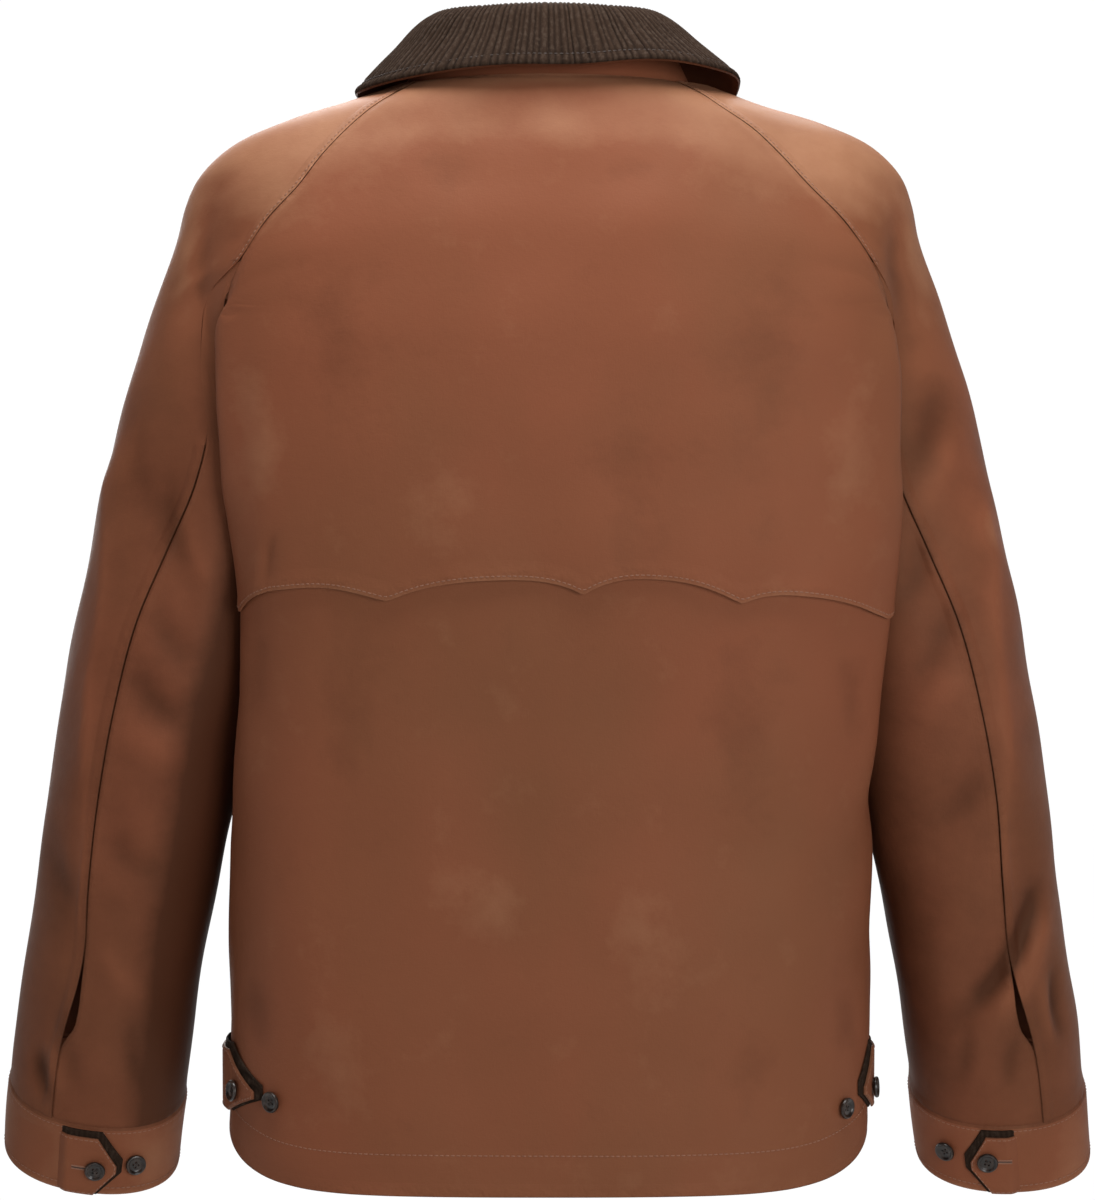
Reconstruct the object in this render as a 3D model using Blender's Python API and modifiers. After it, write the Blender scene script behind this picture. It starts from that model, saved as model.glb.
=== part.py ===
"""Waxed cotton jacket with a scalloped back cape and a corduroy collar, in its worn shape with no wearer.

Units are metres, +Z is up, the front faces -Y and +X is the wearer's left.  The origin is the middle of the
neck opening at the height of the back neck seam, where the wearer's neck and shoulders hold the jacket.
Every panel is one wall of cloth.  Its outer points come from two surfaces, the body and the sleeve, which are
worked out from the tables below and meet along the raglan seam.
"""
import math

import bmesh
import bpy
import numpy as np
from mathutils import Vector
from mathutils.kdtree import KDTree

# ---------------------------------------------------------------- cloth and making

NAME = "waxed_cotton_jacket"
CLOTH = 0.0013            # one layer of waxed cotton with its seam allowances
CUFF_CLOTH = 0.0024       # two layers and a facing
CORDUROY = 0.0016
GAP = 0.0003              # between pieces that meet or lie on each other
CLEAR = 0.009             # between a hanging sleeve and the body,
CLEAR_OPENS = 0.012       # which is reached this far below the armpit
BODY_SOFT, SLEEVE_SOFT = 0.003, 0.004  # how gently the body and the sleeve give way to each other
REACH_MOST = 0.999        # of the body's depth, so that a row's end always has a turn
TURN_STEP, LENGTH_STEP = 0.001, 0.0005  # steps for the slope of a surface, in radians and metres
MEETS = 1e-5              # points of panels this close are one point of a seam
HINGE = 0.55              # panels face each other where their normals lean this little the same way

# ---------------------------------------------------------------- heights along the jacket

NECK = 0.0015             # back neck seam at the raglan seams
NECK_FRONT_SIDE = -0.022  # front end of the neck seam's sleeve part
NECK_FRONT = -0.080       # front neck point
ARMPIT = -0.275
UNDER_SLEEVE_TOP = -0.122  # cross seam where the under sleeve starts on the raglan seam
HEM = -0.706              # at the sides
HEM_DROP = 0.0345         # how much longer the back is in the middle
HEM_SHAPED = -0.600       # the back starts to lengthen below this height
HEM_LEVEL_DEPTH = 0.125   # the hem is at its lowest from this far behind the middle
SLEEVE_END = -0.689
CUFF_END = -0.737
FOLD_TOP = -0.150         # below this the body folds over the seam beside the arm
FOLD_FRONT_IN = 0.004     # the front's fold is this much nearer the middle than the back's,
FOLD_FRONT_IN_MORE = 0.011          # and this much more where it starts
FOLD_FRONT_FROM, FOLD_FRONT_TO = -0.185, -0.260
SLEEVE_JOINED = -0.136    # above this the sleeve head lies on the body's form
SLEEVE_FREE = -0.192      # below this it is a tube of its own
OFFSET_FROM, OFFSET_FULL = -0.240, -0.180  # the raglan seam follows the body's lopsidedness above these

BODY_HEIGHTS = (HEM, -0.650, -0.580, -0.510, -0.435, -0.370, -0.322, -0.296)
ARMHOLE_HEIGHTS = (ARMPIT, -0.2730, -0.2665, -0.2560, -0.234, -0.205, -0.175, -0.148, UNDER_SLEEVE_TOP)
ARMHOLE_BEND = 5          # counting down from the top, the armhole height where it turns under the arm
RAGLAN_BACK_HEIGHTS = (-0.098, -0.075, -0.054, -0.036, -0.020, -0.008, NECK)
RAGLAN_FRONT_HEIGHTS = (-0.107, -0.092, -0.077, -0.062, -0.048, -0.034, NECK_FRONT_SIDE)
SLEEVE_HEIGHTS = (
    SLEEVE_END, -0.668, -0.645, -0.600, -0.540, -0.480, -0.420, -0.365, -0.315,
    -0.270, -0.235, -0.205, -0.175, -0.148, UNDER_SLEEVE_TOP,
)
UNDER_ARM_EVEN = -0.420   # the under sleeve's columns are evenly spread below this height
SLEEVE_TOP_RISE = 0.012   # the neck seam is this much higher over the shoulder

HALF_COLUMNS = 12         # columns from the middle of the back to the side
FRONT_COLUMNS = 10
FOLD_COLUMNS = 4          # of these, the columns from the fold beside the arm to the side
SLEEVE_COLUMNS = 12


class Table:
    """Rows of sizes with named columns, read between the rows as smooth curves of the first column."""

    def __init__(self, names, rows):
        data = np.array(sorted(rows))
        self.key = data[:, 0]
        self.columns = {name: data[:, i] for i, name in enumerate(names)}
        self.slopes = {name: self.gentle_slopes(values) for name, values in self.columns.items()}

    def gentle_slopes(self, values):
        """Slopes at the rows that never overshoot them."""
        run = np.diff(self.key)
        rise = np.diff(values) / run
        slopes = np.zeros(len(values))
        slopes[0], slopes[-1] = rise[0], rise[-1]
        for i in range(1, len(values) - 1):
            if rise[i - 1] * rise[i] > 0:
                before, after = run[i - 1], run[i]
                weight_a, weight_b = 2 * after + before, after + 2 * before
                slopes[i] = (weight_a + weight_b) / (weight_a / rise[i - 1] + weight_b / rise[i])
        return slopes

    def read(self, name, where):
        where = np.clip(np.asarray(where, float), self.key[0], self.key[-1])
        i = np.clip(np.searchsorted(self.key, where) - 1, 0, len(self.key) - 2)
        run = self.key[i + 1] - self.key[i]
        t = (where - self.key[i]) / run
        values, slopes = self.columns[name], self.slopes[name]
        start = (1 + 2 * t) * (1 - t) ** 2 * values[i] + t * (1 - t) ** 2 * run * slopes[i]
        end = t * t * (3 - 2 * t) * values[i + 1] + t * t * (t - 1) * run * slopes[i + 1]
        return start + end


# The body's level sections.  left, right: the half widths; back, front: how deep; square: 2 is an ellipse.
BODY = Table(
    ("height", "left", "right", "back", "front", "square"),
    (
        (0.006, 0.097, 0.097, 0.076, 0.030, 2.0),
        (0.000, 0.107, 0.107, 0.083, 0.041, 2.0),
        (-0.010, 0.143, 0.143, 0.090, 0.050, 2.0),
        (-0.018, 0.168, 0.167, 0.0945, 0.055, 2.0),
        (-0.028, 0.196, 0.198, 0.0995, 0.062, 2.0),
        (-0.040, 0.219, 0.223, 0.105, 0.069, 2.05),
        (-0.057, 0.2345, 0.240, 0.1125, 0.076, 2.2),
        (-0.080, 0.239, 0.248, 0.120, 0.084, 2.5),
        (-0.110, 0.240, 0.2515, 0.128, 0.096, 2.8),
        (-0.147, 0.2405, 0.2545, 0.1345, 0.108, 3.0),
        (-0.200, 0.2405, 0.2560, 0.140, 0.121, 3.1),
        (-0.263, 0.2375, 0.2575, 0.141, 0.130, 3.1),
        (-0.300, 0.2325, 0.2575, 0.140, 0.133, 3.1),
        (-0.353, 0.224, 0.2510, 0.1365, 0.1345, 3.0),
        (-0.417, 0.2225, 0.2410, 0.132, 0.134, 2.9),
        (-0.477, 0.2205, 0.2300, 0.129, 0.1315, 2.8),
        (-0.522, 0.2195, 0.2220, 0.128, 0.130, 2.8),
        (-0.640, 0.2180, 0.2195, 0.1295, 0.128, 2.8),
        (-0.745, 0.2175, 0.2185, 0.131, 0.128, 2.8),
    ),
)

# The sleeve's sections.  outer: its outermost side; centre: its middle; forward: the middle's Y;
# depth: half of it front to back; lean: how far the section drops toward the back, as a slope.
SLEEVE = Table(
    ("height", "outer", "centre", "forward", "depth", "lean"),
    (
        (0.006, 0.097, 0.045, 0.000, 0.050, 0.0),
        (0.000, 0.107, 0.052, 0.000, 0.052, 0.0),
        (-0.010, 0.143, 0.075, 0.000, 0.056, 0.0),
        (-0.018, 0.168, 0.092, 0.000, 0.060, 0.0),
        (-0.028, 0.1965, 0.110, 0.000, 0.064, 0.0),
        (-0.040, 0.2205, 0.128, 0.000, 0.069, 0.0),
        (-0.057, 0.2380, 0.150, 0.000, 0.074, 0.0),
        (-0.075, 0.2470, 0.168, 0.000, 0.077, 0.0),
        (-0.102, 0.2545, 0.182, 0.000, 0.078, 0.0),
        (-0.138, 0.2660, 0.193, 0.001, 0.078, 0.0),
        (-0.187, 0.2820, 0.207, 0.002, 0.076, 0.0),
        (-0.226, 0.2940, 0.2185, 0.003, 0.0755, 0.0),
        (-0.263, 0.3025, 0.2270, 0.003, 0.075, 0.0),
        (-0.298, 0.3095, 0.2350, 0.004, 0.074, 0.0),
        (-0.353, 0.3215, 0.2500, 0.006, 0.071, 0.0),
        (-0.405, 0.3310, 0.2625, 0.006, 0.068, 0.0),
        (-0.440, 0.3370, 0.2700, 0.004, 0.065, 0.0),
        (-0.480, 0.3435, 0.2785, 0.001, 0.0615, 0.02),
        (-0.543, 0.3530, 0.2905, -0.008, 0.057, 0.12),
        (-0.609, 0.3640, 0.3030, -0.022, 0.052, 0.32),
        (-0.648, 0.3705, 0.3095, -0.033, 0.048, 0.46),
        (-0.690, 0.3770, 0.3155, -0.044, 0.044, 0.58),
        (-0.740, 0.3820, 0.3215, -0.055, 0.041, 0.58),
    ),
)
SLEEVE_SQUARE = 2.2
SIDE_LEAN = {1: 0.13, -1: 0.01}  # the left cuff's outer side is higher, the right one is level
SIDE_LEAN_TOP, SIDE_LEAN_FULL = -0.520, -0.690

# Where the raglan seam runs, as a direction from the sleeve's middle: across and behind or before it.
RAGLAN_BACK = Table(
    ("height", "across", "deep"),
    (
        (NECK, 0.0876, 0.047),
        (-0.0363, 0.1365, 0.080),
        (-0.0575, 0.1557, 0.090),
        (-0.075, 0.1695, 0.097),
        (-0.095, 0.1895, 0.1035),
        (-0.115, 0.2060, 0.105),
        (-0.136, 0.2175, 0.100),
        (-0.155, 0.2225, 0.090),
        (-0.180, 0.2235, 0.082),
        (-0.205, 0.2205, 0.077),
        (-0.230, 0.2120, 0.073),
        (-0.250, 0.1970, 0.062),
        (-0.266, 0.1760, 0.040),
        (ARMPIT, 0.1530, 0.004),
    ),
)
RAGLAN_FRONT = Table(
    ("height", "across", "deep"),
    (
        (NECK_FRONT_SIDE, 0.0720, 0.052),
        (-0.045, 0.1050, 0.076),
        (-0.070, 0.1300, 0.088),
        (-0.095, 0.1550, 0.096),
        (-0.115, 0.1750, 0.099),
        (-0.136, 0.1920, 0.099),
        (-0.160, 0.2050, 0.092),
        (-0.185, 0.2090, 0.083),
        (-0.210, 0.2070, 0.076),
        (-0.235, 0.1980, 0.068),
        (-0.252, 0.1850, 0.055),
        (-0.266, 0.1700, 0.032),
        (ARMPIT, 0.1530, -0.002),
    ),
)

# The two seams along the sleeve, as degrees round it from its outer side.
SLEEVE_SEAMS = Table(
    ("height", "back", "front"),
    (
        (-0.122, 68.0, 66.0),
        (-0.148, 66.0, 68.0),
        (-0.175, 69.0, 72.0),
        (-0.205, 76.0, 80.0),
        (-0.234, 85.0, 88.0),
        (-0.260, 86.0, 94.0),
        (-0.300, 80.0, 102.0),
        (-0.400, 70.0, 118.0),
        (-0.500, 69.0, 125.0),
        (-0.580, 72.0, 125.0),
        (-0.690, 72.0, 125.0),
    ),
)

# The slit above each cuff: how far each edge of the back seam swings round to the outer side, in degrees.
SLEEVE_SLIT = Table(
    ("height", "top", "under"),
    (
        (-0.6895, 15.0, 14.0),
        (-0.668, 13.0, 8.0),
        (-0.645, 9.0, 1.0),
        (-0.600, 0.0, 0.0),
        (-0.590, 0.0, 0.0),
    ),
)

# How far across the fold beside the arm reaches, on each side.
FOLD_EDGE = Table(
    ("height", "left", "right"),
    (
        (-0.137, 0.2170, 0.2205),
        (-0.150, 0.2190, 0.2265),
        (-0.168, 0.2195, 0.2304),
        (-0.204, 0.2190, 0.2324),
        (-0.240, 0.2172, 0.2337),
        (-0.269, 0.2163, 0.2346),
        (-0.298, 0.2125, 0.2351),
        (-0.322, 0.2085, 0.2337),
        (-0.346, 0.2060, 0.2304),
        (-0.376, 0.2060, 0.2278),
        (-0.416, 0.2075, 0.2240),
        (-0.475, 0.2140, 0.2220),
        (-0.520, 0.2180, 0.2220),
        (-0.570, 0.2260, 0.2260),
    ),
)

# How far along each row the fold beside the arm may lie, as a share of the row.
FOLD_SHARE = Table(
    ("height", "most"),
    (
        (HEM - HEM_DROP, 0.75),
        (-0.430, 0.75),
        (-0.370, 0.80),
        (-0.300, 0.95),
        (-0.175, 0.95),
        (-0.148, 0.94),
        (-0.122, 0.80),
        (-0.100, 0.75),
        (NECK, 0.75),
    ),
)

# The largest folds.  face: 1 is seen from behind, -1 from in front; then where the fold starts and ends,
# seen from there; width: from its crest to where it has all but gone; height: below 0 it is a trough.
FOLDS = (
    # name, face, top x, top z, low x, low z, width, height
    ("left sleeve head", 1, 0.231, -0.075, 0.238, -0.150, 0.016, -0.0035),
    ("right sleeve head", 1, -0.236, -0.078, -0.240, -0.160, 0.016, -0.0035),
    ("left sleeve ridge above", 1, 0.291, -0.266, 0.304, -0.385, 0.018, 0.0040),
    ("left sleeve ridge below", 1, 0.304, -0.400, 0.314, -0.545, 0.016, 0.0035),
    ("right sleeve ridge above", 1, -0.297, -0.290, -0.303, -0.400, 0.018, 0.0040),
    ("right sleeve ridge below", 1, -0.304, -0.410, -0.309, -0.500, 0.016, 0.0030),
    ("right sleeve diagonal", 1, -0.326, -0.540, -0.294, -0.612, 0.018, -0.0035),
    ("right elbow drape", 1, -0.262, -0.235, -0.246, -0.330, 0.018, -0.0035),
    ("left elbow drape", 1, 0.262, -0.250, 0.250, -0.345, 0.018, -0.0035),
    ("left of the back", 1, 0.160, -0.390, 0.164, -0.570, 0.030, 0.0030),
    ("right of the back", 1, -0.160, -0.400, -0.168, -0.600, 0.032, 0.0030),
    ("middle of the back", 1, 0.035, -0.440, 0.050, -0.640, 0.040, -0.0025),
    ("left of the front", -1, 0.120, -0.300, 0.130, -0.620, 0.035, 0.0040),
    ("right of the front", -1, -0.125, -0.280, -0.118, -0.600, 0.035, 0.0040),
    ("left sleeve front", -1, 0.270, -0.260, 0.315, -0.450, 0.020, -0.0035),
    ("right sleeve front", -1, -0.268, -0.280, -0.312, -0.470, 0.020, -0.0035),
    ("left sleeve front, above the cuff", -1, 0.345, -0.560, 0.310, -0.630, 0.020, 0.0035),
    ("right sleeve front, above the cuff", -1, -0.342, -0.550, -0.308, -0.620, 0.020, 0.0035),
)

# ---------------------------------------------------------------- the two surfaces


def smooth_step(low, high, value):
    t = np.clip((np.asarray(value, float) - low) / (high - low), 0.0, 1.0)
    return t * t * (3.0 - 2.0 * t)


def body_sizes(side, height):
    """Half width, its middle's offset outward on this side, back and front depth, and squareness."""
    left, right = BODY.read("left", height), BODY.read("right", height)
    offset = side * (left - right) / 2
    return (left + right) / 2, offset, BODY.read("back", height), BODY.read("front", height), \
        BODY.read("square", height)


def sleeve_sizes(height):
    centre = SLEEVE.read("centre", height)
    width = SLEEVE.read("outer", height) - centre
    return centre, width, SLEEVE.read("forward", height), SLEEVE.read("depth", height)


def hollow_for_arm(side, height, across, deep):
    """Keep the body within its fold beside the arm and clear of the sleeve's inner side."""
    centre, width, forward, depth = sleeve_sizes(height)
    clear = CLEAR * np.clip((ARMPIT - height) / CLEAR_OPENS, 0.0, 1.0)
    reach = np.minimum(np.abs(deep - forward) / (depth + clear), 1.0)
    beside_sleeve = centre - (width + clear) * np.sqrt(1.0 - reach ** 2)
    beside_sleeve = np.where(reach >= 1.0, np.inf, beside_sleeve)
    limit = np.minimum(fold_edge(side, height, deep), beside_sleeve)
    return 0.5 * (across + limit - np.sqrt((across - limit) ** 2 + BODY_SOFT ** 2))


def fold_edge(side, height, deep):
    edge = FOLD_EDGE.read("left" if side > 0 else "right", height)
    more = FOLD_FRONT_IN_MORE * (1.0 - smooth_step(-FOLD_FRONT_FROM, -FOLD_FRONT_TO, -height))
    return edge - (FOLD_FRONT_IN + more) * (np.asarray(deep) < 0)


def body_point(side, height, turn, hollow=True):
    """A point of the body.  turn is 0 at the side, pi/2 at the middle of the back, -pi/2 at the front."""
    height, turn = np.broadcast_arrays(np.asarray(height, float), np.asarray(turn, float))
    half, offset, back, front, square = body_sizes(side, height)
    cos, sin = np.cos(turn), np.sin(turn)
    across = half * np.abs(cos) ** (2 / square) + offset
    deep = np.where(sin >= 0, back, front) * np.sign(sin) * np.abs(sin) ** (2 / square)
    if hollow:
        across = np.where(height < ARMPIT, hollow_for_arm(side, height, across, deep), across)
    dip = HEM_DROP * smooth_step(0.0, HEM_LEVEL_DEPTH, deep) * smooth_step(-HEM_SHAPED, -HEM, -height)
    return np.stack((side * across, deep, height - dip), axis=-1)


def ray_to_body(side, height, centre, forward, cos, sin):
    """Distance from the sleeve's middle to the body's plain section, by halving."""
    half, offset, back, front, square = body_sizes(side, height)
    near, far = np.zeros_like(cos), np.full_like(cos, 0.5)
    for _ in range(40):
        middle = (near + far) / 2
        across = np.abs(centre + middle * cos - offset) / half
        deep = forward + middle * sin
        deep = np.abs(deep) / np.where(deep >= 0, back, front)
        inside = across ** square + deep ** square < 1.0
        near = np.where(inside, middle, near)
        far = np.where(inside, far, middle)
    return near


def sleeve_point(side, height, turn):
    """A point of the sleeve.  turn is 0 at its outer side, pi/2 behind, pi at the body, -pi/2 in front."""
    height, turn = np.broadcast_arrays(np.asarray(height, float), np.asarray(turn, float))
    centre, width, forward, depth = sleeve_sizes(height)
    cos, sin = np.cos(turn), np.sin(turn)
    power = SLEEVE_SQUARE
    radius = ((np.abs(cos) / width) ** power + (np.abs(sin) / depth) ** power) ** (-1 / power)
    more = ray_to_body(side, height, centre, forward, cos, sin) - radius
    share = smooth_step(SLEEVE_FREE, SLEEVE_JOINED, height)
    radius = radius + share * 0.5 * (more + np.sqrt(more ** 2 + SLEEVE_SOFT ** 2))
    across, deep = centre + radius * cos, forward + radius * sin
    side_lean = SIDE_LEAN[side] * smooth_step(-SIDE_LEAN_TOP, -SIDE_LEAN_FULL, -height)
    drop = SLEEVE.read("lean", height) * (deep - forward) - side_lean * (across - centre)
    return np.stack((side * across, deep, height - drop), axis=-1)


def raglan_turn(side, part, height):
    """Direction of the raglan seam from the sleeve's middle."""
    height = np.asarray(height, float)
    table = RAGLAN_BACK if part == "back" else RAGLAN_FRONT
    sign = 1.0 if part == "back" else -1.0
    centre, _, forward, _ = sleeve_sizes(height)
    _, offset, _, _, _ = body_sizes(side, height)
    across = table.read("across", height) + offset * smooth_step(OFFSET_FROM, OFFSET_FULL, height)
    deep = sign * table.read("deep", height)
    turn = np.arctan2(deep - forward, across - centre)
    return np.where(height <= ARMPIT, sign * math.pi, turn)


def raglan_point(side, part, height):
    return sleeve_point(side, height, raglan_turn(side, part, height))


def sleeve_seam_turn(side, part, height, piece="under"):
    sign = 1.0 if part == "back" else -1.0
    degrees = SLEEVE_SEAMS.read(part, height)
    if part == "back":
        degrees = degrees - SLEEVE_SLIT.read(piece, height)
    turn = sign * np.radians(degrees)
    return np.where(height >= UNDER_SLEEVE_TOP, raglan_turn(side, part, height), turn)


# ---------------------------------------------------------------- rows of points


def length_along(points):
    """Each point's share of a line's length."""
    steps = np.linalg.norm(np.diff(points, axis=0), axis=1)
    along = np.concatenate(((0.0,), np.cumsum(steps)))
    return along / along[-1]


def resample(points, shares):
    """Points at these shares of a line's length."""
    along = length_along(points)
    return np.stack([np.interp(shares, along, points[:, i]) for i in range(3)], axis=1)


def fold_shares(line, height, columns):
    """Shares of a row for its columns, with one column on the fold where the body is widest."""
    widest = length_along(line)[np.argmax(np.abs(line[:, 0]))]
    fold = min(widest, float(FOLD_SHARE.read("most", height)))
    before = np.linspace(0.0, fold, columns - FOLD_COLUMNS + 1)
    return np.concatenate((before, np.linspace(fold, 1.0, FOLD_COLUMNS + 1)[1:]))


def line_to_side(side, sign, middle_height, end_height, end_turn, hollow):
    """A line round the body from its middle, that ends at this height and turn."""
    steps = np.linspace(0.0, 1.0, 241)
    turns = sign * math.pi / 2 * (1 - steps) + end_turn * steps
    return body_point(side, middle_height + (end_height - middle_height) * steps ** 2, turns, hollow)


def line_under_fold(side, sign, fold, end):
    """A line from the fold beside the arm round the sleeve to the seam, which it meets steeply."""
    steps = np.linspace(0.0, 1.0, 61)
    heights = fold[2] + (end[2] - fold[2]) * smooth_step(0.0, 1.0, steps)
    centre, _, forward, _ = sleeve_sizes(heights)
    fold_turn = math.atan2(sign * (fold[1] - forward[0]), side * fold[0] - centre[0])
    end_turn = math.atan2(sign * (end[1] - forward[-1]), side * end[0] - centre[-1])
    turns = fold_turn + (end_turn - fold_turn) * steps
    sleeve = sleeve_point(side, heights, sign * turns)
    out = np.stack((side * np.cos(turns), sign * np.sin(turns), np.zeros(len(turns))), axis=1)
    stand = np.dot(fold - sleeve[0], out[0])
    return sleeve + out * (stand * np.sqrt(1.0 - steps))[:, None]


def body_half_row(side, part, middle_height, end_height, columns):
    """A row of the body from its middle to its side seam, or to the raglan seam above the armpit."""
    sign = 1.0 if part == "back" else -1.0
    if end_height < ARMPIT:
        line = line_to_side(side, sign, middle_height, end_height, 0.0, True)
        return resample(line, fold_shares(line, end_height, columns))
    end = raglan_point(side, part, end_height)
    if end_height < FOLD_TOP:
        height = (middle_height + end_height) / 2
        half, offset, _, _, square = body_sizes(side, height)
        reach = (fold_edge(side, height, sign) - offset) / half
        line = line_to_side(side, sign, middle_height, height, sign * math.acos(reach ** (square / 2)), False)
        line = np.concatenate((line, line_under_fold(side, sign, line[-1], end)[1:]))
    else:
        depth, square = BODY.read(part, end_height), BODY.read("square", end_height)
        reach = min(REACH_MOST, abs(end[1]) / depth)
        end_turn = math.copysign(math.asin(reach ** (square / 2)), end[1])
        line = line_to_side(side, sign, middle_height, end_height, end_turn, False)
        line = line + (end - line[-1]) * np.linspace(0.0, 1.0, len(line))[:, None] ** 4
    return resample(line, fold_shares(line, end_height, columns))


def back_rows():
    ends = BODY_HEIGHTS + ARMHOLE_HEIGHTS + RAGLAN_BACK_HEIGHTS
    beside_armhole = np.linspace(BODY_HEIGHTS[-1], UNDER_SLEEVE_TOP, len(ARMHOLE_HEIGHTS) + 1)[1:]
    middles = BODY_HEIGHTS + tuple(beside_armhole) + RAGLAN_BACK_HEIGHTS
    rows = []
    for middle_height, end_height in zip(middles, ends):
        right = body_half_row(-1, "back", middle_height, end_height, HALF_COLUMNS)
        left = body_half_row(1, "back", middle_height, end_height, HALF_COLUMNS)
        middle = (right[:1] + left[:1]) / 2
        rows.append(np.concatenate((right[:0:-1], middle, left[1:])))
    return np.array(rows)


def front_rows(side):
    """Rows of one front, from the middle of the front to the side seam or the raglan seam."""
    ends = BODY_HEIGHTS + ARMHOLE_HEIGHTS + RAGLAN_FRONT_HEIGHTS
    above = len(ends) - len(BODY_HEIGHTS)
    middles = BODY_HEIGHTS + tuple(np.linspace(BODY_HEIGHTS[-1], NECK_FRONT, above + 1)[1:])
    rows = []
    for middle_height, end_height in zip(middles, ends):
        row = body_half_row(side, "front", middle_height, end_height, FRONT_COLUMNS)
        row[0, 0] = 0.0
        rows.append(row)
    return np.array(rows)


def sleeve_row(side, back_height, front_height, rise, columns):
    """A row over the sleeve's outer side, from its back edge to its front edge."""
    steps = np.linspace(0.0, 1.0, 121)
    heights = back_height + (front_height - back_height) * steps + rise * 4 * steps * (1 - steps)
    start = sleeve_seam_turn(side, "back", back_height, "top")
    end = sleeve_seam_turn(side, "front", front_height, "top")
    line = sleeve_point(side, heights, start + (end - start) * steps)
    return resample(line, np.linspace(0.0, 1.0, columns + 1))


def top_sleeve_rows(side):
    rows = [sleeve_row(side, h, h, 0.0, SLEEVE_COLUMNS) for h in SLEEVE_HEIGHTS]
    count = len(RAGLAN_BACK_HEIGHTS)
    for i, (back_height, front_height) in enumerate(zip(RAGLAN_BACK_HEIGHTS, RAGLAN_FRONT_HEIGHTS)):
        rise = SLEEVE_TOP_RISE * ((i + 1) / count) ** 2
        rows.append(sleeve_row(side, back_height, front_height, rise, SLEEVE_COLUMNS))
    return np.array(rows)


def under_sleeve_half(side, part):
    """Half of the under sleeve, in columns from its sleeve seam to the middle line under the arm.

    Above the bend of the armhole it is a narrow horn between the sleeve seam and the armhole, where each
    column starts lower than the last.  Below the bend the columns spread out until they are even.
    """
    tops = np.array(ARMHOLE_HEIGHTS[::-1])
    seam_heights = np.array(SLEEVE_HEIGHTS[::-1])
    columns = np.arange(len(tops))
    middle = len(tops) - 1
    fallen = (seam_heights[0] - seam_heights) / (seam_heights[0] - seam_heights[-1])
    heights = tops[None, :] + (seam_heights[-1] - tops[None, :]) * fallen[:, None]
    seam = sleeve_seam_turn(side, part, heights)
    armhole = raglan_turn(side, part, heights)
    across = raglan_turn(side, part, ARMPIT) - seam
    level = np.clip(np.interp(-heights, -tops, columns), 0.5, None)
    horn = (armhole - seam) * columns / level
    bend = tops[ARMHOLE_BEND]
    top_shares = (raglan_turn(side, part, tops) - sleeve_seam_turn(side, part, tops))
    top_shares = top_shares / (raglan_turn(side, part, ARMPIT) - sleeve_seam_turn(side, part, tops))
    top_shares[:ARMHOLE_BEND] = top_shares[ARMHOLE_BEND] * columns[:ARMHOLE_BEND] / ARMHOLE_BEND
    even = smooth_step(np.maximum(-bend, -tops), -UNDER_ARM_EVEN, -heights)
    spread = across * (top_shares * (1.0 - even) + columns / middle * even)
    turns = seam + np.where(heights >= bend, horn, spread)
    return sleeve_point(side, heights, turns), sleeve_normals(side, heights, turns)


def sleeve_normals(side, heights, turns):
    """Unit normals of the sleeve's surface, pointing out."""
    step = TURN_STEP
    round_it = sleeve_point(side, heights, turns + step) - sleeve_point(side, heights, turns - step)
    down = sleeve_point(side, heights - step, turns) - sleeve_point(side, heights + step, turns)
    normals = side * np.cross(down, round_it)
    return normals / np.linalg.norm(normals, axis=-1, keepdims=True)


def under_sleeve_rows(side):
    """The under sleeve, from the cuff up to the armhole, and from its back edge to its front edge."""
    behind = under_sleeve_half(side, "back")
    before = under_sleeve_half(side, "front")
    return [np.concatenate((a, b[:, -2::-1]), axis=1)[::-1] for a, b in zip(behind, before)]


# ---------------------------------------------------------------- walls


def directions(grid, axis):
    """The direction of the grid's lines at each point, midway between its two neighbours' directions."""
    steps = np.diff(grid, axis=axis)
    steps /= np.maximum(np.linalg.norm(steps, axis=2, keepdims=True), 1e-9)
    first, last = np.take(steps, [0], axis=axis), np.take(steps, [-1], axis=axis)
    return np.concatenate((first, steps), axis=axis) + np.concatenate((steps, last), axis=axis)


def row_normals(grid, outside):
    """Unit normals at a grid's points, from the lines through each point's neighbours."""
    normals = np.cross(directions(grid, 1), directions(grid, 0))
    middle = normals[grid.shape[0] // 2, grid.shape[1] // 2]
    if np.dot(middle, outside) < 0:
        normals = -normals
    return normals / np.maximum(np.linalg.norm(normals, axis=2, keepdims=True), 1e-12)


def shared_numbers(grids):
    """A number for each point of each panel, the same where panels meet."""
    points = np.concatenate([grid.reshape(-1, 3) for grid in grids.values()])
    tree = KDTree(len(points))
    for i, point in enumerate(points):
        tree.insert(point, i)
    tree.balance()
    numbers = np.array([min(found[1] for found in tree.find_range(point, MEETS)) for point in points])
    ends = np.cumsum([grid.shape[0] * grid.shape[1] for grid in grids.values()])
    parts = np.split(numbers, ends[:-1])
    return {name: part.reshape(grid.shape[:2]) for (name, grid), part in zip(grids.items(), parts)}


def shared_sums(numbers, values):
    """For each point, the sum of the values of all the panels that meet there, and how many have one."""
    size = max(part.max() for part in numbers.values()) + 1
    sums, counts = np.zeros((size, 3)), np.zeros(size)
    for name, part in numbers.items():
        np.add.at(sums, part, values[name])
        np.add.at(counts, part, np.any(values[name] != 0.0, axis=2))
    return {name: (sums[part], counts[part][..., None]) for name, part in numbers.items()}


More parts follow.
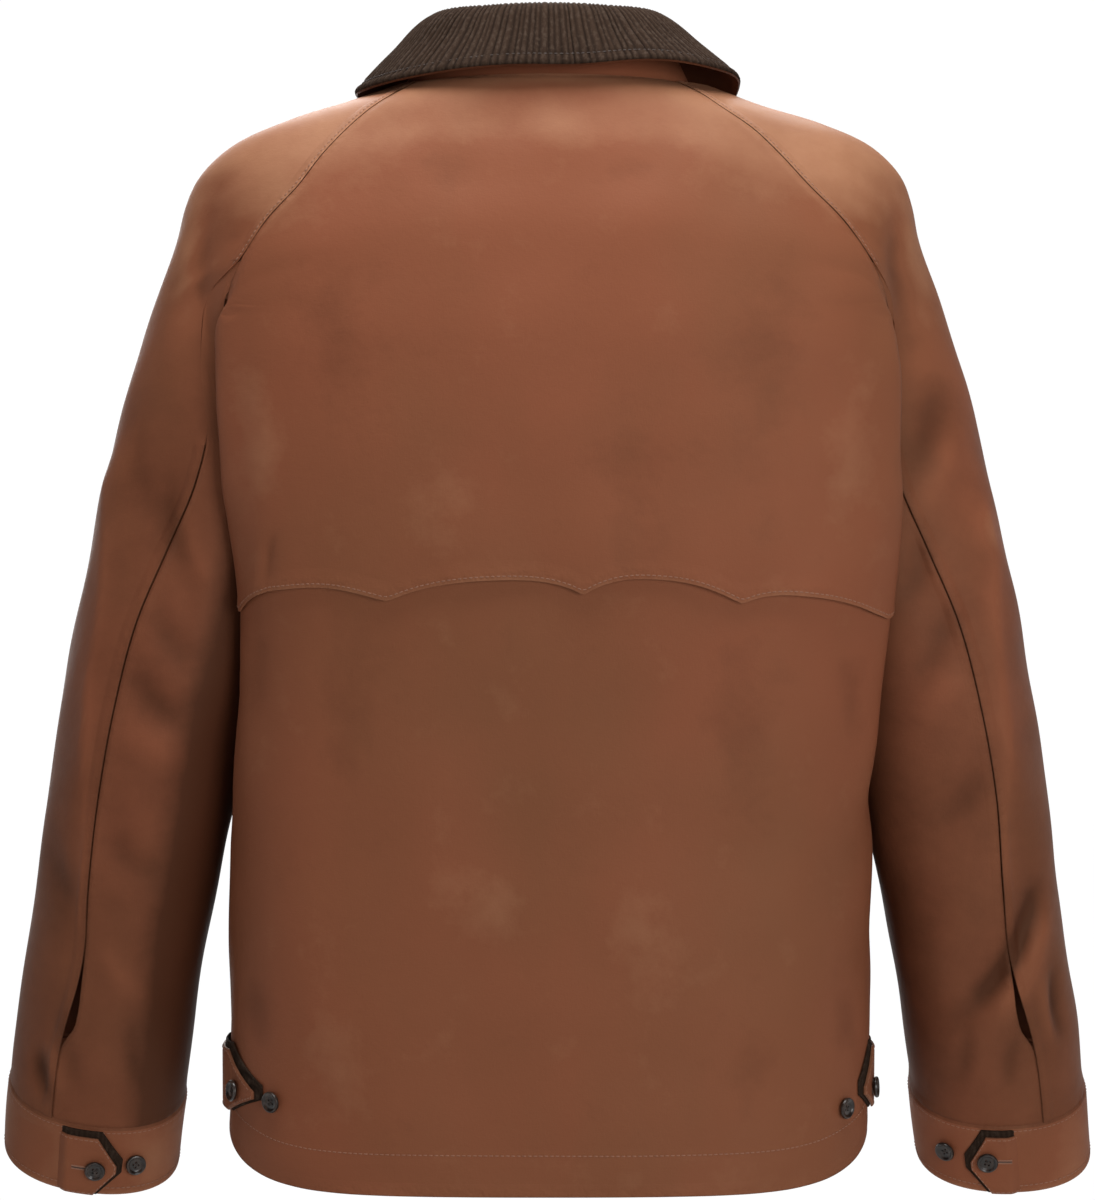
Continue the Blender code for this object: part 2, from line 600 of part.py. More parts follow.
def share_normals(numbers, normals):
    """Give points where panels meet one normal, unless the panels face each other there.

    Returns, for each panel, which of its points do, which are those of the deep part of the armhole.
    """
    hinges = {}
    for name, (total, _) in shared_sums(numbers, normals).items():
        total = total / np.maximum(np.linalg.norm(total, axis=2, keepdims=True), 1e-9)
        facing = np.sum(total * normals[name], axis=2, keepdims=True)
        hinges[name] = facing <= HINGE
        normals[name] = np.where(hinges[name], normals[name], total)
    return hinges


def add_folds(grids, normals, hinges):
    """Raise the cloth along each fold of the table, fading away to each side and past each end."""
    for name, grid in grids.items():
        points, facing = grid.reshape(-1, 3), normals[name].reshape(-1, 3)
        rise = np.zeros(len(points))
        for _, face, top_x, top_z, low_x, low_z, width, height in FOLDS:
            start, run = np.array((top_x, top_z)), np.array((low_x - top_x, low_z - top_z))
            flat = points[:, (0, 2)] - start
            along = np.clip(flat @ run / (run @ run), 0.0, 1.0)
            away = np.linalg.norm(flat - along[:, None] * run, axis=1)
            rise += height * np.exp(-(away / width) ** 2) * smooth_step(0.0, 0.5, face * facing[:, 1])
        rise = np.where(hinges[name], 0.0, rise.reshape(grid.shape[:2] + (1,)))
        grids[name] = grid + normals[name] * rise


def square_to_edge(line, inner, normals):
    """Unit steps from an edge's points into the panel, square to the edge and lying in the cloth."""
    into = np.cross(normals, directions(line[None], 1)[0])
    into /= np.maximum(np.linalg.norm(into, axis=1, keepdims=True), 1e-9)
    return into if np.sum(into * (inner - line)) > 0 else -into


def steps_from_seams(grids, normals, numbers):
    """Half of the gap at the panels' edges: the step from a seam away from the panel at its other side."""
    into = {}
    for name, grid in grids.items():
        steps, facing = np.zeros_like(grid), normals[name]
        for edge, inner in ((0, 1), (-1, -2)):
            steps[:, edge] += square_to_edge(grid[:, edge], grid[:, inner], facing[:, edge])
            steps[edge] += square_to_edge(grid[edge], grid[inner], facing[edge])
        into[name] = steps
    steps = {}
    for name, (total, count) in shared_sums(numbers, into).items():
        step = into[name] - (total - into[name]) / np.maximum(count - 1, 1)
        step *= np.any(into[name] != 0.0, axis=2, keepdims=True)
        steps[name] = step * GAP / 2 / np.maximum(np.linalg.norm(step, axis=2, keepdims=True), 1e-9)
    return steps


def zip_faces(line_a, line_b):
    """Triangles between two lines of vertex numbers with unlike counts."""
    faces = []
    i = j = 0
    while i < len(line_a) - 1 or j < len(line_b) - 1:
        ahead_a = (i + 0.5) / (len(line_a) - 1) if i < len(line_a) - 1 else 2.0
        ahead_b = (j + 0.5) / (len(line_b) - 1) if j < len(line_b) - 1 else 2.0
        if ahead_a <= ahead_b:
            faces.append((line_a[i], line_a[i + 1], line_b[j]))
            i += 1
        else:
            faces.append((line_a[i], line_b[j + 1], line_b[j]))
            j += 1
    return faces


def strip_faces(line_a, line_b, rising=None):
    """Triangles between two lines of vertex numbers; rising says which cells split from first to last."""
    if len(line_a) != len(line_b):
        return zip_faces(line_a, line_b)
    faces = []
    for j in range(len(line_a) - 1):
        corners = [line_a[j], line_a[j + 1], line_b[j + 1], line_b[j]]
        if rising is not None and not rising[j]:
            corners = corners[1:] + corners[:1]
        faces += [tuple(corners[:3]), (corners[0], corners[2], corners[3])]
    return faces


def short_splits(grid):
    """Which cells of a grid are shorter across from their first corner than from their second.

    The walls on one panel's points all split its cells this way, so they stay clear of each other.
    """
    rising = np.linalg.norm(grid[1:, 1:] - grid[:-1, :-1], axis=2)
    falling = np.linalg.norm(grid[1:, :-1] - grid[:-1, 1:], axis=2)
    return rising < falling


def wall_mesh(name, outer, inner, ring=False, splits=None):
    """A closed wall between an outer and an inner list of rows, which may have unlike counts of points.

    Points that repeat the one before them are welded to it, so a row may run together at its ends.
    """
    vertices, numbered = [], []
    for rows in (outer, inner):
        lines = []
        for row in rows:
            line = []
            for i, point in enumerate(row):
                if i == 0 or np.any(point != row[i - 1]):
                    vertices.append(tuple(point))
                line.append(len(vertices) - 1)
            lines.append(line + line[:1] if ring else line)
        numbered.append(lines)
    out_lines, in_lines = numbered
    faces = []
    splits = [None] * len(out_lines) if splits is None else splits
    for low, high, rising in zip(out_lines, out_lines[1:], splits):
        faces += strip_faces(low, high, rising)
    for low, high, rising in zip(in_lines, in_lines[1:], splits):
        faces += [face[::-1] for face in strip_faces(low, high, rising)]
    borders = [(in_lines[0], out_lines[0]), (out_lines[-1], in_lines[-1])]
    if not ring:
        borders.append(([line[0] for line in out_lines], [line[0] for line in in_lines]))
        borders.append(([line[-1] for line in in_lines], [line[-1] for line in out_lines]))
    for line_a, line_b in borders:
        faces += strip_faces(line_a, line_b)
    faces = [tuple(dict.fromkeys(face)) for face in faces]
    mesh = bpy.data.meshes.new(name)
    mesh.from_pydata(vertices, [], [face for face in faces if len(face) > 2])
    work = bmesh.new()
    work.from_mesh(mesh)
    if work.calc_volume(signed=True) < 0:
        bmesh.ops.reverse_faces(work, faces=work.faces)
    work.to_mesh(mesh)
    work.free()
    return mesh


def make_object(name, mesh, material):
    mesh.materials.append(material)
    mesh.shade_smooth()
    mesh.set_sharp_from_angle(angle=math.radians(50))
    piece = bpy.data.objects.new(name, mesh)
    bpy.context.scene.collection.children[NAME].objects.link(piece)
    return piece


def make_panel(name, grid, normals, steps, material):
    """A wall of cloth inward from the grid's points, drawn in a little all round for the seams."""
    outer, inner = grid + steps, grid - normals * CLOTH + steps
    return make_object(name, wall_mesh(name, outer, inner, splits=short_splits(grid)), material)


def make_layer(name, surface, normals, material, thickness, lift, ring=False):
    """A wall that stands off a surface by lift."""
    inner = surface + normals * lift
    outer = surface + normals * (lift + thickness)
    return make_object(name, wall_mesh(name, outer, inner, ring), material)


# ---------------------------------------------------------------- materials


def make_material(name, colour, roughness, metallic=0.0):
    material = bpy.data.materials.new(name)
    material.use_nodes = True
    shader = material.node_tree.nodes["Principled BSDF"]
    shader.inputs["Base Color"].default_value = (*colour, 1.0)
    shader.inputs["Roughness"].default_value = roughness
    shader.inputs["Metallic"].default_value = metallic
    return material


# ---------------------------------------------------------------- the cape

CAPE_FIRST_ROW = BODY_HEIGHTS.index(-0.322)
SCALLOP_COLUMNS = 4       # columns to one scallop
SCALLOP_RISE = 0.0115
SCALLOP_POINT = -0.3465   # the points' height in the middle of the back
SCALLOP_SIDE_DROP = 0.016  # how much lower the edge is this far from the middle:
SCALLOP_SIDE = 0.220
SCALLOP_FULLNESS = 2.2    # how flat a scallop's top is
CAPE_STAND = 0.0035       # how far the free edge stands off the back,
STAND_FROM, STAND_FULL = 0.27, 0.36  # growing between these depths below the neck,
STAND_SIDE, STAND_NONE = 0.70, 0.85  # and fading between these shares of the width
CAPE_WIDE = -0.148        # from this row up the cape reaches the seams, and below it the fold beside the arm


def scallop_height(column, across):
    """Height of the cape's free edge at a column of the back."""
    within = (column % SCALLOP_COLUMNS) / SCALLOP_COLUMNS
    arch = 1.0 - abs(2.0 * within - 1.0) ** SCALLOP_FULLNESS
    return SCALLOP_POINT - SCALLOP_SIDE_DROP * (across / SCALLOP_SIDE) ** 2 + SCALLOP_RISE * arch


def cape_edge(grid, normals):
    """Points and normals of the free edge, on the back's own points or between two of its rows."""
    lower, upper = grid[CAPE_FIRST_ROW - 1], grid[CAPE_FIRST_ROW]
    middle = grid.shape[1] // 2
    columns = np.abs(np.arange(grid.shape[1]) - middle)
    heights = np.array([scallop_height(column, point[0]) for column, point in zip(columns, lower)])
    share = ((heights - lower[:, 2]) / (upper[:, 2] - lower[:, 2]))[:, None]
    edge_normals = normals[CAPE_FIRST_ROW - 1] * (1 - share) + normals[CAPE_FIRST_ROW] * share
    edge_normals /= np.linalg.norm(edge_normals, axis=1, keepdims=True)
    return lower + (upper - lower) * share, edge_normals


def make_cape(grid, normals, steps, material):
    edge, edge_normals = cape_edge(grid, normals)
    cape = np.concatenate((edge[None], grid[CAPE_FIRST_ROW:]))
    cape_normals = np.concatenate((edge_normals[None], normals[CAPE_FIRST_ROW:]))
    beside = np.abs(np.linspace(-1.0, 1.0, grid.shape[1]))
    stand = CAPE_STAND * smooth_step(STAND_FROM, STAND_FULL, -cape[..., 2])
    stand = stand * (1.0 - smooth_step(STAND_SIDE, STAND_NONE, beside))
    inner = cape + cape_normals * (GAP + stand)[..., None] + steps[CAPE_FIRST_ROW - 1:]
    outer = inner + cape_normals * CLOTH
    below_cross_seam = (None,) + BODY_HEIGHTS[CAPE_FIRST_ROW:] + ARMHOLE_HEIGHTS[:-1]
    for i, height in enumerate(below_cross_seam):
        short = 0 if height == CAPE_WIDE else FOLD_COLUMNS
        for wall in (inner, outer):
            wall[i, :short] = wall[i, short]
            wall[i, wall.shape[1] - short:] = wall[i, wall.shape[1] - short - 1]
    splits = short_splits(grid)[CAPE_FIRST_ROW - 1:]
    return make_object("back_cape", wall_mesh("back_cape", outer, inner, splits=splits), material)


# ---------------------------------------------------------------- the collar

WALES = 132               # corduroy ribs round the collar
WALE_HEIGHT = 0.0005
COLLAR_COLUMNS = 40
COLLAR_FOLD_RADIUS = 0.0045
COLLAR_END = 176.0        # degrees from the middle of the back to each front end
COLLAR_RISE = 0.0020      # the stand starts this far above the neck's edge
FOLD_TURNS = (150.0, 90.0, 30.0)  # the sections' points over the fold, in degrees
FALL_SHARES = (0.45, 1.0)
FALL_ROWS = 1 + len(FALL_SHARES)  # rows that carry the wales

# turn: degrees from the middle of the back.  fold and fold_out: the fold's height and how far it lies from
# the neck's axis.  edge_turn, edge_out and edge: where the fall's edge points, how far out and how high.
COLLAR = Table(
    ("turn", "fold", "fold_out", "edge_turn", "edge_out", "edge"),
    (
        (0.0, 0.0440, 0.0700, 0.0, 0.1010, 0.0050),
        (30.0, 0.0440, 0.0715, 30.0, 0.1080, 0.0045),
        (60.0, 0.0450, 0.0770, 62.0, 0.1220, 0.0020),
        (90.0, 0.0430, 0.0815, 88.0, 0.1330, 0.0010),
        (120.0, 0.0320, 0.0800, 112.0, 0.1330, -0.0080),
        (150.0, -0.0020, 0.0800, 134.0, 0.1330, -0.0600),
        (176.0, -0.0480, 0.0830, 152.0, 0.1310, -0.1300),
    ),
)
RIGHT_EDGE_LIFT = 0.007   # the right side of the fall stands off the shoulder
LIFT_BEHIND, LIFT_BEFORE = (5.0, 50.0), (75.0, 115.0)  # the turns that it starts and ends over


def neck_edge(grids):
    """The neck seam as one line, with each point's direction in degrees from the middle of the back."""
    points = [grids["back"][-1]]
    for label in ("left", "right"):
        points += [grids["top_sleeve_" + label][-1], grids["front_" + label][-1]]
    points = np.concatenate(points)
    turns = np.degrees(np.arctan2(points[:, 0], points[:, 1]))
    order = np.argsort(turns)
    return turns[order], points[order]


def collar_section(neck, turn):
    """Points across the collar at this turn, from the neck seam up the stand, over the fold and down."""
    side = 1.0 if turn >= 0 else -1.0
    angle = abs(turn)
    size = {name: float(COLLAR.read(name, angle)) for name in COLLAR.columns}
    out = np.array((side * math.sin(math.radians(angle)), math.cos(math.radians(angle)), 0.0))
    edge_angle = math.radians(size["edge_turn"])
    edge_out = np.array((side * math.sin(edge_angle), math.cos(edge_angle), 0.0))
    up = np.array((0.0, 0.0, 1.0))
    base = np.array([np.interp(turn, neck[0], neck[1][:, i]) for i in range(3)]) + up * COLLAR_RISE
    fold = out * size["fold_out"] + up * size["fold"]
    lifted = RIGHT_EDGE_LIFT * smooth_step(*LIFT_BEHIND, angle) * (1.0 - smooth_step(*LIFT_BEFORE, angle))
    edge = edge_out * size["edge_out"] + up * (size["edge"] + (lifted if side < 0 else 0.0))
    bend = []
    for degrees in FOLD_TURNS:
        bend_angle = math.radians(degrees)
        bend.append(fold + COLLAR_FOLD_RADIUS * (out * math.cos(bend_angle) + up * math.sin(bend_angle)))
    fall = [bend[-1] + (edge - bend[-1]) * share for share in FALL_SHARES]
    return [base, (base + bend[0]) / 2] + bend + fall


def collar_grid(neck, columns):
    turns = np.linspace(-COLLAR_END, COLLAR_END, columns + 1)
    grid = np.array([collar_section(neck, turn) for turn in turns]).transpose(1, 0, 2)
    return grid, row_normals(grid, (0.0, -1.0, 0.0))


def make_collar(neck, corduroy, cotton):
    plain, plain_normals = collar_grid(neck, COLLAR_COLUMNS)
    ribbed, ribbed_normals = collar_grid(neck, 2 * WALES)
    if np.dot(plain_normals[-2, COLLAR_COLUMNS // 2], (0.0, 1.0, 0.0)) < 0:
        plain_normals, ribbed_normals = -plain_normals, -ribbed_normals
    face = GAP / 2 + CORDUROY
    raised = (face + WALE_HEIGHT * (np.arange(2 * WALES + 1) % 2))[None, :, None]
    ribs = ribbed + ribbed_normals * raised
    outer = list((plain + plain_normals * face)[:-FALL_ROWS]) + list(ribs[-FALL_ROWS:])
    inner = list(plain + plain_normals * GAP / 2)
    make_object("collar_top", wall_mesh("collar_top", outer, inner), corduroy)
    make_layer("collar_under", plain, -plain_normals, cotton, CLOTH, GAP / 2)


# ---------------------------------------------------------------- cuffs, straps and the placket

CUFF_COLUMNS = 26
CUFF_LIFT = 0.0006        # the cuff's outer side stands this far off the sleeve's
STRAP_CLOTH = 0.0015
STRAP_GAP = 0.0005        # straps lie on round pieces, so their flats need a little more room
FACING_SHOWS = 0.0045     # the corduroy facing past a strap's upper and slanted edges
STRAP_COLUMNS = 7
STRAP_SHOULDER = 0.68     # share of a strap's length where it starts to taper
STRAP_TIP = 0.12          # the blunt tip's share of a strap's height
PLACKET_HALF = 0.028
PLACKET_CLOTH = 0.0020
PLACKET_TOP_GAP = 0.006


def strap_outline(tip_low, grow):
    """Rows of shares along and up a strap, from its lower to its upper edge; grow widens it as a facing."""
    grow_along, grow_up = grow
    along = np.linspace(0.0, 1.0, STRAP_COLUMNS + 1)
    taper = np.clip((along - STRAP_SHOULDER) / (1 - STRAP_SHOULDER), 0.0, 1.0)
    low = taper * tip_low
    high = 1.0 - taper * (1.0 - tip_low - STRAP_TIP) + grow_up
    shares = np.linspace(0.0, 1.0, 3)[:, None]
    up = low[None, :] + (high - low)[None, :] * shares
    return np.broadcast_to(along * (1.0 + grow_along), up.shape), up


def make_strap(label, surface, length, height, tip_low, materials, lift):
    """A strap and its facing on a surface function of the distance along and up, both from 0 to 1."""
    shows = (FACING_SHOWS / length, FACING_SHOWS / height)
    facing_lift, strap_lift = lift + STRAP_GAP, lift + 2 * STRAP_GAP + CORDUROY
    points, facing_out = surface(*strap_outline(tip_low, shows))
    make_layer(label.format("_facing"), points, facing_out, materials["corduroy"], CORDUROY, facing_lift)
    points, out = surface(*strap_outline(tip_low, (0.0, 0.0)))
    make_layer(label.format(""), points, out, materials["waxed_cotton"], STRAP_CLOTH, strap_lift)
    return strap_lift + STRAP_CLOTH


# side: which cuff.  start, tip: degrees round the sleeve.  button, spare: degrees and height of each button.
CUFF_TABS = {
    1: {"start": 60.0, "tip": 116.0, "button": (98.4, -0.7170), "spare": (131.0, -0.7150)},
    -1: {"start": 76.0, "tip": 122.0, "button": (108.0, -0.7120), "spare": (141.0, -0.7120)},
}
CUFF_TAB_TOP, CUFF_TAB_LOW = -0.6945, -0.7365
CUFF_TAB_TIP_LOW = 0.40   # the tip's lower corner as a share of the strap's height
CUFF_TAB_RADIUS = 0.055   # the cuff's mean radius, for the strap's length


def make_cuff(side, label, materials):
    turns = np.linspace(0.0, 2 * math.pi, CUFF_COLUMNS, endpoint=False)
    heights = np.array((CUFF_END, (CUFF_END + SLEEVE_END) / 2, SLEEVE_END - GAP))
    turns, heights = np.meshgrid(turns, heights)
    points, out = sleeve_point(side, heights, turns), sleeve_normals(side, heights, turns)
    cotton = materials["waxed_cotton"]
    make_layer("cuff_" + label, points, out, cotton, CUFF_CLOTH, CUFF_LIFT - CUFF_CLOTH, ring=True)
    tab = CUFF_TABS[side]

    def on_cuff(along, up):
        turn = np.radians(tab["start"] + (tab["tip"] - tab["start"]) * along)
        height = CUFF_TAB_LOW + (CUFF_TAB_TOP - CUFF_TAB_LOW) * up
        return sleeve_point(side, height, turn), sleeve_normals(side, height, turn)

    length = math.radians(tab["tip"] - tab["start"]) * CUFF_TAB_RADIUS
    height = CUFF_TAB_TOP - CUFF_TAB_LOW
    top = make_strap("cuff_tab{}_" + label, on_cuff, length, height, CUFF_TAB_TIP_LOW, materials, CUFF_LIFT)
    for name, (degrees, at), lift in (
        ("cuff_button_" + label, tab["button"], top),
        ("cuff_button_" + label + "_spare", tab["spare"], CUFF_LIFT),
    ):
        turn = math.radians(degrees)
        point, normal = sleeve_point(side, at, turn), sleeve_normals(side, at, turn)
        make_button(name, point, normal, lift, materials["horn"])


# side: which strap.  tip: how far behind the side seam it ends.  button, spare: depth and height of each.
HEM_TABS = {
    1: {"tip": 0.083, "button": (0.066, -0.679), "spare": (0.0930, -0.683)},
    -1: {"tip": 0.060, "button": (0.042, -0.680), "spare": (0.0790, -0.689)},
}
HEM_TAB_START = -0.012
HEM_TAB_TOP, HEM_TAB_LOW = -0.653, -0.694
HEM_TAB_TIP_LOW = 0.28


def body_at(side, height, deep):
    """A point of the body's back half and its normal, at this true height and depth."""
    def point_at(height, deep):
        level = height
        for _ in range(20):
            depth = np.where(deep >= 0, BODY.read("back", level), BODY.read("front", level))
            square = BODY.read("square", level)
            turn = np.sign(deep) * np.arcsin(np.minimum(np.abs(deep) / depth, 1.0) ** (square / 2))
            point = body_point(side, level, turn)
            level = level + height - point[..., 2]
        return point

    height, deep = np.broadcast_arrays(np.asarray(height, float), np.asarray(deep, float))
    step = LENGTH_STEP
    along = point_at(height, deep + step) - point_at(height, deep - step)
    upward = point_at(height + step, deep) - point_at(height - step, deep)
    normals = side * np.cross(along, upward)
    return point_at(height, deep), normals / np.linalg.norm(normals, axis=-1, keepdims=True)


def make_hem_tab(side, label, materials):
    tab = HEM_TABS[side]
    length, height = tab["tip"] - HEM_TAB_START, HEM_TAB_TOP - HEM_TAB_LOW

    def on_body(along, up):
        return body_at(side, HEM_TAB_LOW + height * up, HEM_TAB_START + length * along)

    top = make_strap("hem_tab{}_" + label, on_body, length, height, HEM_TAB_TIP_LOW, materials, 0.0)
    for name, (deep, at), lift in (
        ("hem_button_" + label, tab["button"], top),
        ("hem_button_" + label + "_spare", tab["spare"], 0.0),
    ):
        point, normal = body_at(side, at, deep)
        make_button(name, point, normal, lift, materials["horn"])


def along_row(row, distance):
    """The point this far along a row from its first point."""
    steps = np.linalg.norm(np.diff(row, axis=0), axis=1)
    so_far = np.concatenate(((0.0,), np.cumsum(steps)))
    return np.array([np.interp(distance, so_far, row[:, i]) for i in range(3)])


def make_placket(grids, materials):
    """The buttoned edge over the middle of the front, on the two fronts' points."""
    rows = []
    for left, right in zip(grids["front_left"], grids["front_right"]):
        row = [along_row(right, PLACKET_HALF), (left[0] + right[0]) / 2, along_row(left, PLACKET_HALF)]
        rows.append(row)
    points = np.array(rows)
    outs = row_normals(points, (0.0, -1.0, 0.0))
    points[-1] += square_to_edge(points[-1], points[-2], outs[-1]) * PLACKET_TOP_GAP
    make_layer("front_placket", points, outs, materials["waxed_cotton"], PLACKET_CLOTH, GAP)
    middle = points[:, 1]
    heights = np.linspace(FRONT_BUTTON_TOP, FRONT_BUTTON_LOW, FRONT_BUTTONS)
    for number, height in enumerate(heights, 1):
        point = np.array([np.interp(height, middle[:, 2], middle[:, i]) for i in range(3)])
        normal = np.array([np.interp(height, middle[:, 2], outs[:, 1, i]) for i in range(3)])
        make_button("front_button_%d" % number, point, normal, GAP + PLACKET_CLOTH, materials["horn"])


# ---------------------------------------------------------------- buttons

BUTTON_RADIUS = 0.0072
BUTTON_THICK = 0.0030
BUTTON_STAND = 0.0008     # the thread shank
BUTTON_STEPS = 12
FRONT_BUTTONS = 5
FRONT_BUTTON_TOP, FRONT_BUTTON_LOW = -0.150, -0.610


def make_button(name, point, normal, lift, material):
    """A dished round button whose back is a little way above the cloth, as a turned profile."""
    profile = (
        (0.0, 0.55), (0.66, 0.55), (0.84, 1.0), (1.0, 0.45), (0.0, 0.0),
    )
    mesh = bpy.data.meshes.new(name)
    vertices = [(radius * BUTTON_RADIUS, 0.0, height * BUTTON_THICK) for radius, height in profile]
    edges = [(i, i + 1) for i in range(len(profile) - 1)]
    mesh.from_pydata(vertices, edges, [])
    button = make_object(name, mesh, material)
    turned = button.modifiers.new("turn", "SCREW")
    turned.steps = turned.render_steps = BUTTON_STEPS
    turned.use_merge_vertices = True
    turned.merge_threshold = MEETS
    axis = Vector(normal).normalized()
    button.location = Vector(point) + axis * (lift + BUTTON_STAND)
    button.rotation_mode = "QUATERNION"
    button.rotation_quaternion = axis.to_track_quat("Z", "Y")
    return button


def main():
    for item in list(bpy.data.objects):
        bpy.data.objects.remove(item, do_unlink=True)
    collection = bpy.data.collections.new(NAME)
    bpy.context.scene.collection.children.link(collection)
    materials = {
        "waxed_cotton": make_material("waxed_cotton", (0.200, 0.068, 0.036), 0.55),
        "corduroy": make_material("corduroy", (0.050, 0.028, 0.018), 0.85),
        "horn": make_material("horn", (0.030, 0.014, 0.008), 0.25),
    }
    grids, normals = {}, {}
    grids["back"] = back_rows()
    normals["back"] = row_normals(grids["back"], (0.0, 1.0, 0.0))
    for side, label in ((1, "left"), (-1, "right")):
        grids["front_" + label] = front_rows(side)
        normals["front_" + label] = row_normals(grids["front_" + label], (0.0, -1.0, 0.0))
        grids["top_sleeve_" + label] = top_sleeve_rows(side)
        normals["top_sleeve_" + label] = row_normals(grids["top_sleeve_" + label], (side, 0.0, 0.0))
        grids["under_sleeve_" + label], normals["under_sleeve_" + label] = under_sleeve_rows(side)
    numbers = shared_numbers(grids)
    steps = steps_from_seams(grids, normals, numbers)
    hinges = share_normals(numbers, normals)
    add_folds(grids, normals, hinges)
    for name, grid in grids.items():
        make_panel(name, grid, normals[name], steps[name], materials["waxed_cotton"])
    make_cape(grids["back"], normals["back"], steps["back"], materials["waxed_cotton"])
    make_collar(neck_edge(grids), materials["corduroy"], materials["waxed_cotton"])
    make_placket(grids, materials)
    for side, label in ((1, "left"), (-1, "right")):
        make_cuff(side, label, materials)
        make_hem_tab(side, label, materials)


main()
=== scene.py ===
# %% [markdown]
# # A waxed cotton jacket, seen from the back
#
# The jacket hangs hollow, as if worn by nobody: neck, hem and cuffs are open. A frame of plain solids
# says where every panel lies. This script dresses that frame: it works out the same two surfaces, the
# body and the sleeve, cuts finer panels from them, adds the creases, seams and stitches, and gives each
# cloth its finish. Sizes are in metres, +Z is up, the front faces -Y and +X is the wearer's left.

# %% Load the frame
import math

import bmesh
import bpy
import numpy as np
from mathutils import Matrix, Vector
from mathutils.kdtree import KDTree


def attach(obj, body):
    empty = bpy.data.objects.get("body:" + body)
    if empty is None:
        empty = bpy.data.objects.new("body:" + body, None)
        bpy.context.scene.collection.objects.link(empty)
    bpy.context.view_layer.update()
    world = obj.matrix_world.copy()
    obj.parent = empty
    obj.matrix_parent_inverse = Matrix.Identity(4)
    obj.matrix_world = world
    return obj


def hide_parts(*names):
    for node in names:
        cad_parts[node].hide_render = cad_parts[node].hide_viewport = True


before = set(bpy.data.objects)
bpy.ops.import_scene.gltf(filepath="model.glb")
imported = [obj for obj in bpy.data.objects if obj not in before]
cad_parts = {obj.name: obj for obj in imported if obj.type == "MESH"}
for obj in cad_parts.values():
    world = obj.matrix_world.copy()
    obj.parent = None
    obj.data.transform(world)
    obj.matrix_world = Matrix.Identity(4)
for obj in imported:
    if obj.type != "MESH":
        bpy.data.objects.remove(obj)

BACK, FRONT, UP = (0.0, 1.0, 0.0), (0.0, -1.0, 0.0), (0.0, 0.0, 1.0)
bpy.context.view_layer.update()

# %% [markdown]
# ## The cut
#
# A pattern cutter works from a few measurements. These are the jacket's: how thick its cloths are, and
# the heights where seams start and end, with the neck seam at zero. The frame was built from the same
# numbers.

# %% Measurements
MM = 0.001
CLOTH = 0.0013  # one layer of waxed cotton with its seam allowances
CUFF_CLOTH = 0.0024  # two layers and a facing
CORDUROY = 0.0016
GAP = 0.0003  # between pieces that meet or lie on each other
CLEAR = 0.009  # between a hanging sleeve and the body
CLEAR_OVER = 0.012  # it opens to that over this height below the armpit
MEETS = 1e-5  # points of panels this close are one point of a seam
HINGE = 0.55  # panels face each other where their normals lean this little the same way

# Heights along the jacket.
NECK = 0.0015  # back neck seam at the raglan seams
NECK_FRONT_SIDE = -0.022  # front end of the neck seam's sleeve part
NECK_FRONT = -0.080  # front neck point
ARMPIT = -0.275
UNDER_SLEEVE_TOP = -0.122  # cross seam where the under sleeve starts on the raglan seam
HEM = -0.706  # at the sides
HEM_DROP = 0.0345  # how much longer the back is in the middle
HEM_SHAPED = -0.600  # the back starts to lengthen below this height
HEM_LEVEL_DEPTH = 0.125  # the hem is at its lowest from this far behind the middle
SLEEVE_END = -0.689
CUFF_END = -0.737
FOLD_TOP = -0.150  # below this the body folds over the seam beside the arm
FOLD_FRONT_IN = 0.004  # the front's fold is this much nearer the middle than the back's,
FOLD_FRONT_IN_MORE = 0.011  # and this much more where it starts
FOLD_FRONT_FROM, FOLD_FRONT_TO = -0.185, -0.260
SLEEVE_JOINED = -0.136  # above this the sleeve head lies on the body's form
SLEEVE_FREE = -0.192  # below this it is a tube of its own
RAGLAN_SHIFT = (-0.24, -0.18)  # above these the raglan seam follows the body's middle to one side

BODY_HEIGHTS = (HEM, -0.650, -0.580, -0.510, -0.435, -0.370, -0.322, -0.296)
ARMHOLE_HEIGHTS = (ARMPIT, -0.2730, -0.2665, -0.2560, -0.234, -0.205, -0.175, -0.148, UNDER_SLEEVE_TOP)
ARMHOLE_BEND = 5  # counting down from the top, the armhole height where it turns under the arm
RAGLAN_BACK_HEIGHTS = (-0.098, -0.075, -0.054, -0.036, -0.020, -0.008, NECK)
RAGLAN_FRONT_HEIGHTS = (-0.107, -0.092, -0.077, -0.062, -0.048, -0.034, NECK_FRONT_SIDE)
SLEEVE_HEIGHTS = (
    SLEEVE_END, -0.668, -0.654, -0.643, -0.635, -0.627, -0.616, -0.600, -0.580, -0.540, -0.480,
    -0.420, -0.365, -0.315, -0.270, -0.235, -0.205, -0.175, -0.148, UNDER_SLEEVE_TOP,
)
UNDER_ARM_EVEN = -0.420  # the under sleeve's columns are evenly spread below this height
SLEEVE_TOP_RISE = 0.012  # the neck seam is this much higher over the shoulder

HALF_COLUMNS = 12  # columns from the middle of the back to the side
FRONT_COLUMNS = 10
FOLD_COLUMNS = 4  # of these, the columns from the fold beside the arm to the side
SLEEVE_COLUMNS = 12

# %% [markdown]
# ## Tables of sizes
#
# A body or a sleeve changes along its length, so its sizes come as short tables: a row for each height,
# a named column for each size. Between the rows they are read as smooth curves that never overshoot a
# row, because cloth that swings out between two measured places would look blown up.

# %% Read a table smoothly
def smooth_between(t, run, start, end, slope_start, slope_end):
    """A smooth curve from one value to the next with given slopes, at the share t of the run between them."""
    first = (1 + 2 * t) * (1 - t) ** 2 * start + t * (1 - t) ** 2 * run * slope_start
    return first + (t * t * (3 - 2 * t) * end + t * t * (t - 1) * run * slope_end)


